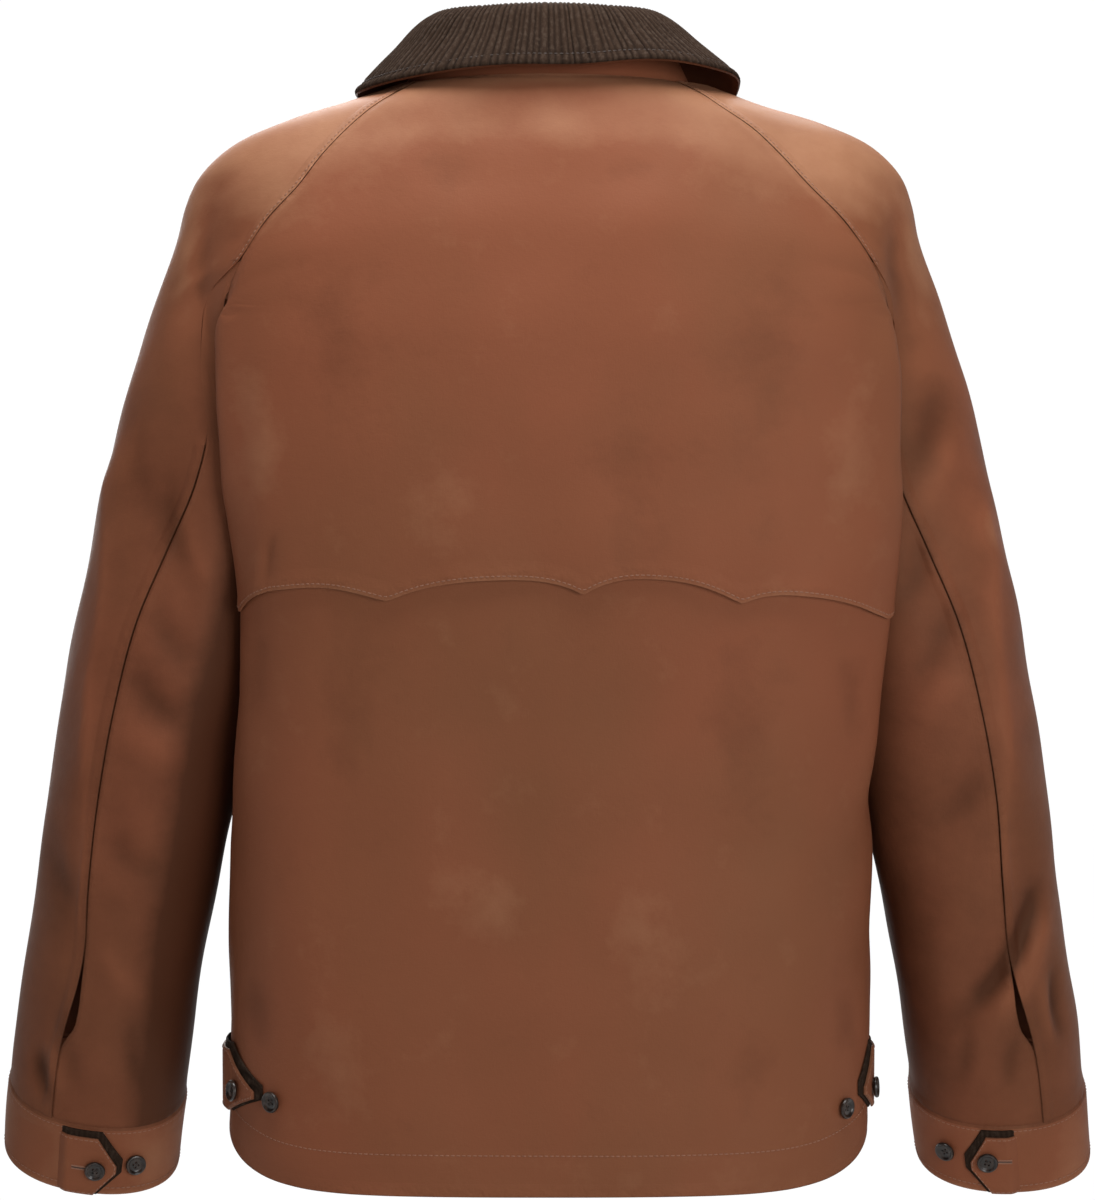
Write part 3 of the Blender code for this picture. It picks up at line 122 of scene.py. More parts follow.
class Table:
    """Rows of sizes in millimetres, and of plain numbers, read as smooth curves of the first column."""

    def __init__(self, names, numbers, plain=""):
        names = names.split()
        rows = np.array(numbers, float).reshape(-1, len(names))
        rows = rows[np.argsort(rows[:, 0])].T
        self.columns = {name: row if name in plain.split() else row / 1000 for name, row in zip(names, rows)}
        self.key = self.columns[names[0]]
        self.slopes = {name: self.gentle_slopes(values) for name, values in self.columns.items()}

    def gentle_slopes(self, values):
        """Slopes at the rows that never overshoot them."""
        run = np.diff(self.key)
        rise = np.diff(values) / run
        slopes = np.zeros(len(values))
        slopes[0], slopes[-1] = rise[0], rise[-1]
        for i in range(1, len(values) - 1):
            if rise[i - 1] * rise[i] > 0:
                before, after = 2 * run[i] + run[i - 1], run[i] + 2 * run[i - 1]
                slopes[i] = (before + after) / (before / rise[i - 1] + after / rise[i])
        return slopes

    def read(self, name, where):
        where = np.clip(np.asarray(where, float), self.key[0], self.key[-1])
        i = np.clip(np.searchsorted(self.key, where) - 1, 0, len(self.key) - 2)
        run = self.key[i + 1] - self.key[i]
        values, slopes = self.columns[name], self.slopes[name]
        t = (where - self.key[i]) / run
        return smooth_between(t, run, values[i], values[i + 1], slopes[i], slopes[i + 1])


# %% The body and the sleeve, level by level
# The body's level sections. left, right: the half widths; back, front: how deep; square: 2 is an
# ellipse.
BODY = Table("height left right back front square", (
    6, 97, 97, 76, 30, 2,
    0, 107, 107, 83, 41, 2,
    -10, 143, 143, 90, 50, 2,
    -18, 168, 167, 94.5, 55, 2,
    -28, 196, 198, 99.5, 62, 2,
    -40, 219, 223, 105, 69, 2.05,
    -57, 234.5, 240, 112.5, 76, 2.2,
    -80, 239, 248, 120, 84, 2.5,
    -110, 240, 251.5, 128, 96, 2.8,
    -147, 240.5, 254.5, 134.5, 108, 3,
    -200, 240.5, 256, 140, 121, 3.1,
    -263, 237.5, 257.5, 141, 130, 3.1,
    -300, 232.5, 257.5, 140, 133, 3.1,
    -353, 224, 251, 136.5, 134.5, 3,
    -417, 222.5, 241, 132, 134, 2.9,
    -477, 220.5, 230, 129, 131.5, 2.8,
    -522, 219.5, 222, 128, 130, 2.8,
    -640, 218, 219.5, 129.5, 128, 2.8,
    -745, 217.5, 218.5, 131, 128, 2.8,
), plain="square")

# The sleeve's sections. outer: its outermost side; centre: its middle; forward: the middle's Y;
# depth: half of it front to back; lean: how far the section drops toward the back, as a slope.
SLEEVE = Table("height outer centre forward depth lean", (
    6, 97, 45, 0, 50, 0,
    0, 107, 52, 0, 52, 0,
    -10, 143, 75, 0, 56, 0,
    -18, 168, 92, 0, 60, 0,
    -28, 196.5, 110, 0, 64, 0,
    -40, 220.5, 128, 0, 69, 0,
    -57, 238, 150, 0, 74, 0,
    -75, 247, 168, 0, 77, 0,
    -102, 254.5, 182, 0, 78, 0,
    -138, 266, 193, 1, 78, 0,
    -187, 282, 207, 2, 76, 0,
    -226, 294, 218.5, 3, 75.5, 0,
    -263, 302.5, 227, 3, 75, 0,
    -298, 309.5, 235, 4, 74, 0,
    -353, 321.5, 250, 6, 71, 0,
    -405, 331, 262.5, 6, 68, 0,
    -440, 337, 270, 4, 65, 0,
    -480, 343.5, 278.5, 1, 61.5, 0.02,
    -543, 353, 290.5, -8, 57, 0.12,
    -609, 364, 303, -22, 52, 0.32,
    -648, 370.5, 309.5, -33, 48, 0.46,
    -690, 377, 315.5, -44, 44, 0.58,
    -740, 382, 321.5, -55, 41, 0.58,
), plain="lean")
SLEEVE_SQUARE = 2.2
SIDE_LEAN = {1: 0.13, -1: 0.01}  # the left cuff's outer side is higher, the right one is level
SIDE_LEAN_TOP, SIDE_LEAN_FULL = -0.520, -0.690

# %% Where the seams run
# Where the raglan seam runs, from the neck seam to the armpit, as a direction from the sleeve's middle:
# across and behind or before it.
RAGLAN_BACK = Table("height across deep", (
    1.5, 87.6, 47,  -36.3, 136.5, 80,  -57.5, 155.7, 90,  -75, 169.5, 97,  -95, 189.5, 103.5,
    -115, 206, 105,  -136, 217.5, 100,  -155, 222.5, 90,  -180, 223.5, 82,  -205, 220.5, 77,
    -230, 212, 73,  -250, 197, 62,  -266, 176, 40,  -275, 153, 4,
))
RAGLAN_FRONT = Table("height across deep", (
    -22, 72, 52,  -45, 105, 76,  -70, 130, 88,  -95, 155, 96,  -115, 175, 99,  -136, 192, 99,
    -160, 205, 92,  -185, 209, 83,  -210, 207, 76,  -235, 198, 68,  -252, 185, 55,  -266, 170, 32,
    -275, 153, -2,
))
RAGLAN = {"back": RAGLAN_BACK, "front": RAGLAN_FRONT}
SIGN = {"back": 1.0, "front": -1.0}

# The two seams along the sleeve, as degrees round it from its outer side.
SLEEVE_SEAMS = Table("height back front", (
    -122, 68, 66,  -148, 66, 68,  -175, 69, 72,  -205, 76, 80,  -234, 85, 88,  -260, 86, 94,
    -300, 80, 102,  -400, 70, 118,  -500, 69, 125,  -580, 72, 125,  -690, 72, 125,
), plain="back front")

# The slit above each cuff: how far each edge of the back seam swings round to the outer side, in
# degrees.
SLEEVE_SLIT = Table("height top under", (
    -689.5, 15.6, 17.2,  -668, 14.6, 16.2,  -654, 13.4, 15,  -643, 12, 13,  -635, 10.6, 9,
    -627, 8.8, 3,  -616, 6, 0.5,  -600, 2.2, 0,  -580, 0, 0,  -570, 0, 0,
), plain="top under")

# %% Where the body folds over beside the arm
# How far across the fold beside the arm reaches, on each side.
FOLD_EDGE = Table("height left right", (
    -137, 217, 220.5,  -150, 219, 226.5,  -168, 219.5, 230.4,  -204, 219, 232.4,  -240, 217.2, 233.7,
    -269, 216.3, 234.6,  -298, 212.5, 235.1,  -322, 208.5, 233.7,  -346, 206, 230.4,  -376, 206, 227.8,
    -416, 207.5, 224,  -475, 214, 222,  -520, 218, 222,  -570, 226, 226,
))

# How far along each row the fold beside the arm may lie, as a share of the row.
FOLD_SHARE = Table("height most", (
    -740.5, 0.75,  -430, 0.75,  -370, 0.8,  -300, 0.95,  -175, 0.95,  -148, 0.94,  -122, 0.8,
    -100, 0.75,  1.5, 0.75,
), plain="most")

# %% The largest folds
# In millimetres. face: 1 is seen from behind, -1 from in front; then where the fold starts and ends,
# seen from there; width: from its crest to where it has all but gone; height: below 0 it is a trough.
FOLDS = (
    # name, face, top x, top z, low x, low z, width, height
    ("left sleeve head", 1, 231, -75, 238, -150, 16, -3.5),
    ("right sleeve head", 1, -236, -78, -240, -160, 16, -3.5),
    ("left sleeve ridge above", 1, 291, -266, 304, -385, 18, 4),
    ("left sleeve ridge below", 1, 304, -400, 314, -545, 16, 3.5),
    ("right sleeve ridge above", 1, -297, -290, -303, -400, 18, 4),
    ("right sleeve ridge below", 1, -304, -410, -309, -500, 16, 3),
    ("right sleeve diagonal", 1, -326, -540, -294, -612, 17, -5),
    ("right elbow drape", 1, -262, -235, -246, -330, 18, -3.5),
    ("left elbow drape", 1, 262, -250, 250, -345, 18, -3.5),
    ("left of the back", 1, 160, -390, 164, -570, 30, 3),
    ("right of the back", 1, -160, -400, -168, -600, 32, 3),
    ("middle of the back", 1, 35, -440, 50, -640, 40, -2.5),
    ("left of the front", -1, 120, -300, 130, -620, 35, 4),
    ("right of the front", -1, -125, -280, -118, -600, 35, 4),
    ("left sleeve front", -1, 270, -260, 315, -450, 20, -3.5),
    ("right sleeve front", -1, -268, -280, -312, -470, 20, -3.5),
    ("left sleeve front, above the cuff", -1, 345, -560, 310, -630, 20, 3.5),
    ("right sleeve front, above the cuff", -1, -342, -550, -308, -620, 20, 3.5),
)

print("levels of the body and the sleeve:", len(BODY.key), len(SLEEVE.key), "large folds:", len(FOLDS))

# %% [markdown]
# ## Two surfaces
#
# A raglan jacket is two surfaces that meet: a barrel for the body and a bent tube for each arm. Each is
# a function of a height and a turn round its middle, so a panel is a grid of such points. Pushing a mesh
# about by hand could give the same form, but then the seams would not meet exactly.

# %% Measure along lines, and step smoothly
def smooth_step(low, high, value):
    t = np.clip((np.asarray(value, float) - low) / (high - low), 0.0, 1.0)
    return t * t * (3.0 - 2.0 * t)


def run_along(line):
    """How far along a line of points each of them lies."""
    return np.concatenate(((0.0,), np.cumsum(np.linalg.norm(np.diff(line, axis=0), axis=1))))


def at(distance, along, values):
    """What a line's values are at a distance along it."""
    return np.stack([np.interp(distance, along, values[:, i]) for i in range(3)], axis=-1)


def resample(points, shares):
    """Points at these shares of a line's length."""
    along = run_along(points)
    return at(shares, along / along[-1], points)


def unit(vectors):
    return vectors / np.maximum(np.linalg.norm(vectors, axis=-1, keepdims=True), 1e-12)


# %% The body's surface
FOLD_SOFT = 0.003  # how softly the body turns into its fold,
JOIN_SOFT = 0.004  # and the sleeve head onto the body
NO_FOLD = 0.1  # added to a limit where there is no sleeve beside the body
RAY_REACH, HALVINGS = 0.5, 40  # how far a surface is looked for, and how often that is halved


def body_sizes(side, height):
    """Half width, its middle's offset outward on this side, back and front depth, and squareness."""
    left, right = BODY.read("left", height), BODY.read("right", height)
    others = (BODY.read(name, height) for name in ("back", "front", "square"))
    return (left + right) / 2, side * (left - right) / 2, *others


def sleeve_sizes(height):
    centre = SLEEVE.read("centre", height)
    width = SLEEVE.read("outer", height) - centre
    return centre, width, SLEEVE.read("forward", height), SLEEVE.read("depth", height)


def hollow_for_arm(side, height, across, deep):
    """Keep the body within its fold beside the arm and clear of the sleeve's inner side."""
    centre, width, forward, depth = sleeve_sizes(height)
    clear = CLEAR * np.clip((ARMPIT - height) / CLEAR_OVER, 0.0, 1.0)
    reach = np.minimum(np.abs(deep - forward) / (depth + clear), 1.0)
    beside_sleeve = centre - (width + clear) * np.sqrt(1.0 - reach ** 2)
    limit = np.minimum(fold_edge(side, height, deep), beside_sleeve + NO_FOLD * (reach >= 1.0))
    return 0.5 * (across + limit - np.sqrt((across - limit) ** 2 + FOLD_SOFT ** 2))


def fold_edge(side, height, deep):
    edge = FOLD_EDGE.read("left" if side > 0 else "right", height)
    more = FOLD_FRONT_IN_MORE * (1.0 - smooth_step(-FOLD_FRONT_FROM, -FOLD_FRONT_TO, -height))
    return edge - (FOLD_FRONT_IN + more) * (np.asarray(deep) < 0)


def body_point(side, height, turn, hollow=True):
    """A point of the body.  turn is 0 at the side, pi/2 at the middle of the back, -pi/2 at the front."""
    height, turn = np.broadcast_arrays(np.asarray(height, float), np.asarray(turn, float))
    half, offset, back, front, square = body_sizes(side, height)
    cos, sin = np.cos(turn), np.sin(turn)
    across = half * np.abs(cos) ** (2 / square) + offset
    deep = np.where(sin >= 0, back, front) * np.sign(sin) * np.abs(sin) ** (2 / square)
    if hollow:
        across = np.where(height < ARMPIT, hollow_for_arm(side, height, across, deep), across)
    dip = HEM_DROP * smooth_step(0.0, HEM_LEVEL_DEPTH, deep) * smooth_step(-HEM_SHAPED, -HEM, -height)
    return np.stack((side * across, deep, height - dip), axis=-1)


# %% The sleeve's surface
def ray_to_body(side, height, centre, forward, cos, sin):
    """Distance from the sleeve's middle to the body's plain section, by halving."""
    half, offset, back, front, square = body_sizes(side, height)
    near, far = np.zeros_like(cos), np.full_like(cos, RAY_REACH)
    for _ in range(HALVINGS):
        middle = (near + far) / 2
        deep = forward + middle * sin
        deep = np.abs(deep) / np.where(deep >= 0, back, front)
        inside = (np.abs(centre + middle * cos - offset) / half) ** square + deep ** square < 1.0
        near, far = np.where(inside, middle, near), np.where(inside, far, middle)
    return near


def sleeve_point(side, height, turn):
    """A point of the sleeve.  turn is 0 at its outer side, pi/2 behind, pi at the body, -pi/2 in front."""
    height, turn = np.broadcast_arrays(np.asarray(height, float), np.asarray(turn, float))
    centre, width, forward, depth = sleeve_sizes(height)
    cos, sin = np.cos(turn), np.sin(turn)
    power = SLEEVE_SQUARE
    radius = ((np.abs(cos) / width) ** power + (np.abs(sin) / depth) ** power) ** (-1 / power)
    more = ray_to_body(side, height, centre, forward, cos, sin) - radius
    joined = smooth_step(SLEEVE_FREE, SLEEVE_JOINED, height)
    radius = radius + joined * 0.5 * (more + np.sqrt(more ** 2 + JOIN_SOFT ** 2))
    across, deep = centre + radius * cos, forward + radius * sin
    side_lean = SIDE_LEAN[side] * smooth_step(-SIDE_LEAN_TOP, -SIDE_LEAN_FULL, -height)
    drop = SLEEVE.read("lean", height) * (deep - forward) - side_lean * (across - centre)
    return np.stack((side * across, deep, height - drop), axis=-1)


def sleeve_surface(side, heights, turns):
    """Points of the sleeve and their unit normals, pointing out."""
    small = 0.001
    round_it = sleeve_point(side, heights, turns + small) - sleeve_point(side, heights, turns - small)
    down = sleeve_point(side, heights - small, turns) - sleeve_point(side, heights + small, turns)
    return sleeve_point(side, heights, turns), unit(side * np.cross(down, round_it))


def raglan_turn(side, part, height):
    """Direction of the raglan seam from the sleeve's middle."""
    height = np.asarray(height, float)
    centre, _, forward, _ = sleeve_sizes(height)
    offset = body_sizes(side, height)[1]
    across = RAGLAN[part].read("across", height) + offset * smooth_step(*RAGLAN_SHIFT, height)
    turn = np.arctan2(SIGN[part] * RAGLAN[part].read("deep", height) - forward, across - centre)
    return np.where(height <= ARMPIT, SIGN[part] * math.pi, turn)


def sleeve_seam_turn(side, part, height, piece="under"):
    degrees = SLEEVE_SEAMS.read(part, height)
    if part == "back":
        degrees = degrees - SLEEVE_SLIT.read(piece, height)
    turn = SIGN[part] * np.radians(degrees)
    return np.where(height >= UNDER_SLEEVE_TOP, raglan_turn(side, part, height), turn)


print("outer wrist at", sleeve_point(1, SLEEVE_END, 0.0).round(4))

# %% [markdown]
# ## Panels as rows of points
#
# Each panel is made of rows that run from seam to seam. Beside the arm the row follows the fold of cloth
# that hangs over the armhole and then goes back under it to the seam.

# %% Rows of the body
ROW_STEPS, FOLD_STEPS, SLEEVE_STEPS = (np.linspace(0.0, 1.0, count) for count in (241, 61, 121))


def fold_shares(line, height, columns):
    """Shares of a row for its columns, with one column on the fold where the body is widest."""
    along = run_along(line)
    widest = (along / along[-1])[np.argmax(np.abs(line[:, 0]))]
    fold = min(widest, float(FOLD_SHARE.read("most", height)))
    before = np.linspace(0.0, fold, columns - FOLD_COLUMNS + 1)
    return np.concatenate((before, np.linspace(fold, 1.0, FOLD_COLUMNS + 1)[1:]))


def line_to_side(side, sign, middle_height, end_height, end_turn, hollow=False):
    """A line round the body from its middle, that ends at this height and turn."""
    turns = sign * math.pi / 2 * (1 - ROW_STEPS) + end_turn * ROW_STEPS
    return body_point(side, middle_height + (end_height - middle_height) * ROW_STEPS ** 2, turns, hollow)


def line_under_fold(side, sign, fold, end):
    """A line from the fold beside the arm round the sleeve to the seam, which it meets steeply."""
    heights = fold[2] + (end[2] - fold[2]) * smooth_step(0.0, 1.0, FOLD_STEPS)
    centre, _, forward, _ = sleeve_sizes(heights)
    fold_turn = math.atan2(sign * (fold[1] - forward[0]), side * fold[0] - centre[0])
    end_turn = math.atan2(sign * (end[1] - forward[-1]), side * end[0] - centre[-1])
    turns = fold_turn + (end_turn - fold_turn) * FOLD_STEPS
    sleeve = sleeve_point(side, heights, sign * turns)
    out = np.stack((side * np.cos(turns), sign * np.sin(turns), np.zeros(len(turns))), axis=1)
    stand = np.dot(fold - sleeve[0], out[0])
    return sleeve + out * (stand * np.sqrt(1.0 - FOLD_STEPS))[:, None]


def body_half_row(side, part, middle_height, end_height, columns):
    """A row of the body from its middle to its side seam, or to the raglan seam above the armpit."""
    sign = SIGN[part]
    end = sleeve_point(side, end_height, raglan_turn(side, part, end_height))
    if end_height < ARMPIT:
        line = line_to_side(side, sign, middle_height, end_height, 0.0, True)
    elif end_height < FOLD_TOP:
        height = (middle_height + end_height) / 2
        half, offset, _, _, square = body_sizes(side, height)
        reach = (fold_edge(side, height, sign) - offset) / half
        line = line_to_side(side, sign, middle_height, height, sign * math.acos(reach ** (square / 2)))
        line = np.concatenate((line, line_under_fold(side, sign, line[-1], end)[1:]))
    else:
        reach = min(0.999, abs(end[1]) / BODY.read(part, end_height))
        end_turn = math.copysign(math.asin(reach ** (BODY.read("square", end_height) / 2)), end[1])
        line = line_to_side(side, sign, middle_height, end_height, end_turn)
        line = line + (end - line[-1]) * ROW_STEPS[:, None] ** 4
    return resample(line, fold_shares(line, end_height, columns))


def back_rows():
    ends = BODY_HEIGHTS + ARMHOLE_HEIGHTS + RAGLAN_BACK_HEIGHTS
    beside_armhole = np.linspace(BODY_HEIGHTS[-1], UNDER_SLEEVE_TOP, len(ARMHOLE_HEIGHTS) + 1)[1:]
    rows = []
    for middle_height, end_height in zip(BODY_HEIGHTS + tuple(beside_armhole) + RAGLAN_BACK_HEIGHTS, ends):
        right = body_half_row(-1, "back", middle_height, end_height, HALF_COLUMNS)
        left = body_half_row(1, "back", middle_height, end_height, HALF_COLUMNS)
        rows.append(np.concatenate((right[:0:-1], (right[:1] + left[:1]) / 2, left[1:])))
    return np.array(rows)


def front_rows(side):
    """Rows of one front, from the middle of the front to the side seam or the raglan seam."""
    ends = BODY_HEIGHTS + ARMHOLE_HEIGHTS + RAGLAN_FRONT_HEIGHTS
    above = len(ends) - len(BODY_HEIGHTS)
    middles = BODY_HEIGHTS + tuple(np.linspace(BODY_HEIGHTS[-1], NECK_FRONT, above + 1)[1:])
    rows = np.array([body_half_row(side, "front", *heights, FRONT_COLUMNS) for heights in zip(middles, ends)])
    rows[:, 0, 0] = 0.0
    return rows


# %% Rows of the sleeve
def sleeve_row(side, back_height, front_height, rise=0.0):
    """A row over the sleeve's outer side, from its back edge to its front edge."""
    steps = SLEEVE_STEPS
    heights = back_height + (front_height - back_height) * steps + rise * 4 * steps * (1 - steps)
    start = sleeve_seam_turn(side, "back", back_height, "top")
    end = sleeve_seam_turn(side, "front", front_height, "top")
    line = sleeve_point(side, heights, start + (end - start) * steps)
    return resample(line, np.linspace(0.0, 1.0, SLEEVE_COLUMNS + 1))


def top_sleeve_rows(side):
    rows = [sleeve_row(side, height, height) for height in SLEEVE_HEIGHTS]
    for i, heights in enumerate(zip(RAGLAN_BACK_HEIGHTS, RAGLAN_FRONT_HEIGHTS), 1):
        rows.append(sleeve_row(side, *heights, SLEEVE_TOP_RISE * (i / len(RAGLAN_BACK_HEIGHTS)) ** 2))
    return np.array(rows)


def under_sleeve_half(side, part):
    """Half of the under sleeve, in columns from its sleeve seam to the middle line under the arm.

    Above the bend of the armhole it is a narrow horn between the sleeve seam and the armhole, where each
    column starts lower than the last.  Below the bend the columns spread out until they are even.
    """
    tops, seam_heights = np.array(ARMHOLE_HEIGHTS[::-1]), np.array(SLEEVE_HEIGHTS[::-1])
    columns = np.arange(len(tops))
    fallen = (seam_heights[0] - seam_heights) / (seam_heights[0] - seam_heights[-1])
    heights = tops[None, :] + (seam_heights[-1] - tops[None, :]) * fallen[:, None]
    seam, armhole = sleeve_seam_turn(side, part, heights), raglan_turn(side, part, heights)
    across = raglan_turn(side, part, ARMPIT) - seam
    horn = (armhole - seam) * columns / np.clip(np.interp(-heights, -tops, columns), 0.5, None)
    bend = tops[ARMHOLE_BEND]
    shares = (armhole[0] - seam[0]) / across[0]
    shares[:ARMHOLE_BEND] = shares[ARMHOLE_BEND] * columns[:ARMHOLE_BEND] / ARMHOLE_BEND
    even = smooth_step(np.maximum(-bend, -tops), -UNDER_ARM_EVEN, -heights)
    spread = across * (shares * (1.0 - even) + columns / columns[-1] * even)
    return sleeve_surface(side, heights, seam + np.where(heights >= bend, horn, spread))


def under_sleeve_rows(side):
    """The under sleeve, from the cuff up to the armhole, and from its back edge to its front edge."""
    halves = under_sleeve_half(side, "back"), under_sleeve_half(side, "front")
    return [np.concatenate((behind, before[:, -2::-1]), axis=1)[::-1] for behind, before in zip(*halves)]


# %% Normals, and what is shared at a seam
def directions(grid, axis):
    """The direction of the grid's lines at each point, midway between its two neighbours' directions."""
    steps = unit(np.diff(grid, axis=axis))
    first, last = np.take(steps, [0], axis=axis), np.take(steps, [-1], axis=axis)
    return np.concatenate((first, steps), axis=axis) + np.concatenate((steps, last), axis=axis)


def row_normals(grid, outside):
    """Unit normals at a grid's points, from the lines through each point's neighbours."""
    normals = np.cross(directions(grid, 1), directions(grid, 0))
    middle = normals[grid.shape[0] // 2, grid.shape[1] // 2]
    return unit(-normals if np.dot(middle, outside) < 0 else normals)


def shared_numbers(grids):
    """A number for each point of each panel, the same where panels meet."""
    points = np.concatenate([grid.reshape(-1, 3) for grid in grids.values()])
    tree = KDTree(len(points))
    for i, point in enumerate(points):
        tree.insert(point, i)
    tree.balance()
    numbers = np.array([min(found[1] for found in tree.find_range(point, MEETS)) for point in points])
    ends = np.cumsum([grid.shape[0] * grid.shape[1] for grid in grids.values()])
    parts = np.split(numbers, ends[:-1])
    return {name: part.reshape(grid.shape[:2]) for (name, grid), part in zip(grids.items(), parts)}


def share_normals(numbers, normals):
    """Give points where panels meet one normal, and find those where the panels face each other instead."""
    sums = np.zeros((max(part.max() for part in numbers.values()) + 1, 3))
    for name, part in numbers.items():
        np.add.at(sums, part, normals[name])
    hinges = {}
    for name, part in numbers.items():
        total = unit(sums[part])
        hinges[name] = np.sum(total * normals[name], axis=2, keepdims=True) <= HINGE
        normals[name] = np.where(hinges[name], normals[name], total)
    return hinges


def add_folds(grids, normals, hinges):
    """Raise the cloth along each fold of the table, fading away to each side and past each end."""
    for name, grid in grids.items():
        points, facing = grid.reshape(-1, 3), normals[name].reshape(-1, 3)
        rise = np.zeros(len(points))
        for _, face, *sizes in FOLDS:
            top_x, top_z, low_x, low_z, width, height = np.array(sizes) / 1000
            run = np.array((low_x - top_x, low_z - top_z))
            flat = points[:, (0, 2)] - (top_x, top_z)
            along = np.clip(flat @ run / (run @ run), 0.0, 1.0)
            away = np.linalg.norm(flat - along[:, None] * run, axis=1)
            rise += height * np.exp(-(away / width) ** 2) * smooth_step(0.0, 0.5, face * facing[:, 1])
        grids[name] = grid + normals[name] * np.where(hinges[name], 0.0, rise.reshape(grid.shape[:2] + (1,)))


# %% Cut all panels
SIDES = ((1, "left"), (-1, "right"))
grids, normals = {"back": back_rows()}, {}
normals["back"] = row_normals(grids["back"], BACK)
for side, label in SIDES:
    grids["front_" + label], grids["top_sleeve_" + label] = front_rows(side), top_sleeve_rows(side)
    normals["front_" + label] = row_normals(grids["front_" + label], FRONT)
    normals["top_sleeve_" + label] = row_normals(grids["top_sleeve_" + label], (side, 0.0, 0.0))
    grids["under_sleeve_" + label], normals["under_sleeve_" + label] = under_sleeve_rows(side)
add_folds(grids, normals, share_normals(shared_numbers(grids), normals))
print("panels:", {name: grid.shape[:2] for name, grid in grids.items()})

# %% [markdown]
# ## Shader maths that reads as sums
#
# A finish mixes noises, stripes and marks. Wiring Math nodes one by one hides the sum behind the
# plumbing, so a small class wraps a socket: adding or multiplying two of them adds the Math node.
# Everything that is not a sum goes through one method that makes a node with its settings and links.

# %% Signals and finishes
def plug(tree, socket, value):
    """Link a signal to a socket, or set the socket to a plain value."""
    if isinstance(value, Signal):
        tree.links.new(value.socket, socket)
    else:
        socket.default_value = value


def find_socket(sockets, key):
    return next(s for s in sockets if key in (s.identifier, s.name))


class Signal:
    """A socket in a shader tree that can be added, multiplied and so on."""

    def __init__(self, tree, socket):
        self.tree, self.socket = tree, socket

    def maths(self, operation, first, second, clamp=False):
        node = self.tree.nodes.new("ShaderNodeMath")
        node.operation, node.use_clamp = operation, clamp
        plug(self.tree, node.inputs[0], first)
        plug(self.tree, node.inputs[1], second)
        return Signal(self.tree, node.outputs[0])

    def __add__(self, other):
        return self.maths("ADD", self, other)

    def __sub__(self, other):
        return self.maths("SUBTRACT", self, other)

    def __rsub__(self, other):
        return self.maths("SUBTRACT", other, self)

    def __mul__(self, other):
        return self.maths("MULTIPLY", self, other)

    def __truediv__(self, other):
        return self.maths("DIVIDE", self, other)

    def clamped(self):
        return self.maths("ADD", self, 0.0, clamp=True)

    __radd__, __rmul__ = __add__, __mul__


class Finish:
    """A material, with one method for every kind of node."""

    def __init__(self, name):
        self.material = bpy.data.materials.new(name)
        self.material.use_nodes = True
        self.tree = self.material.node_tree
        self.shader = self.tree.nodes["Principled BSDF"]

    def node(self, kind, settings, values, output):
        node = self.tree.nodes.new(kind)
        for name, setting in settings.items():
            setattr(node, name, setting)
        for key, value in values.items():
            plug(self.tree, find_socket(node.inputs, key), value)
        return Signal(self.tree, find_socket(node.outputs, output))

    def noise(self, scale, detail=2.0, rough=0.5, stretch=(1.0, 1.0, 1.0)):
        where = self.node("ShaderNodeTexCoord", {}, {}, "Object")
        where = self.node("ShaderNodeMapping", {}, {"Vector": where, "Scale": stretch}, "Vector")
        values = {"Vector": where, "Scale": scale, "Detail": detail, "Roughness": rough}
        return self.node("ShaderNodeTexNoise", {}, values, "Fac")

    def mark(self, name):
        return self.node("ShaderNodeAttribute", {"attribute_name": name}, {}, "Fac")

    def mix(self, share, first, second):
        values = {"Factor_Float": share, "A_Color": first, "B_Color": second}
        return self.node("ShaderNodeMix", {"data_type": "RGBA"}, values, "Result_Color")

    def bump(self, height, distance, strength, **under):
        values = {"Height": height, "Distance": distance, "Strength": strength, **under}
        return self.node("ShaderNodeBump", {}, values, "Normal")

    def feed(self, **sockets):
        """Link or set the shader's own sockets, written with _ for a space."""
        for name, value in sockets.items():
            plug(self.tree, self.shader.inputs[name.replace("_", " ")], value)
        return self.material


def tone(red, green, blue):
    """A linear colour for the shader."""
    return (red, green, blue, 1.0)


# %% [markdown]
# ## Waxed cotton
#
# Waxed cotton is a tight plain weave soaked in wax. The wax lies unevenly, so the brown drifts between
# reddish and olive over a hand's width. It is paler where the cloth stands proud, partly rubbed wax and
# partly painted highlight, darker in the troughs as painted shade, and dark along seams. The panels carry
# two marks for that: how far a crease lifts them, to which a painted sheen on the shoulders and painted
# shade on the sleeves are added, and how far off the nearest seam is. An image texture could hold the
# same, but noise has no edges and needs no unwrapping.

# %% Make the waxed cotton
RED_BROWN, OLIVE_BROWN = tone(0.166, 0.0520, 0.0255), tone(0.140, 0.0500, 0.0236)
# pale: rubbed wax on ridges and edges, plus painted highlight and sheen; dark: stains and seam lines, plus
# painted shade in troughs and on the sleeves
PALE_WEAR_AND_HIGHLIGHT, DARK_STAIN_AND_SHADE = tone(0.300, 0.152, 0.084), tone(0.034, 0.0095, 0.0040)
# Noises: how many to a metre, detail, roughness.
DRIFT, BLOTCH, CRINKLE = (5.0, 4.0, 0.55), (24.0, 5.0, 0.65), (95.0, 4.0, 0.6)
WEAVE, PUCKER = 900.0, 150.0
WEAVE_DEEP, CRINKLE_DEEP, PUCKER_DEEP = 0.00012, 0.00060, 0.0018
SEAM_PUCKER = 0.009  # puckers fade out this far from a seam
SEAM_DARK, SEAM_SOFT = 0.0008, 0.0036  # and so do its dark line and the softer shade beside it
THREAD_LONG = 0.35  # how much a thread's noise is drawn out along it


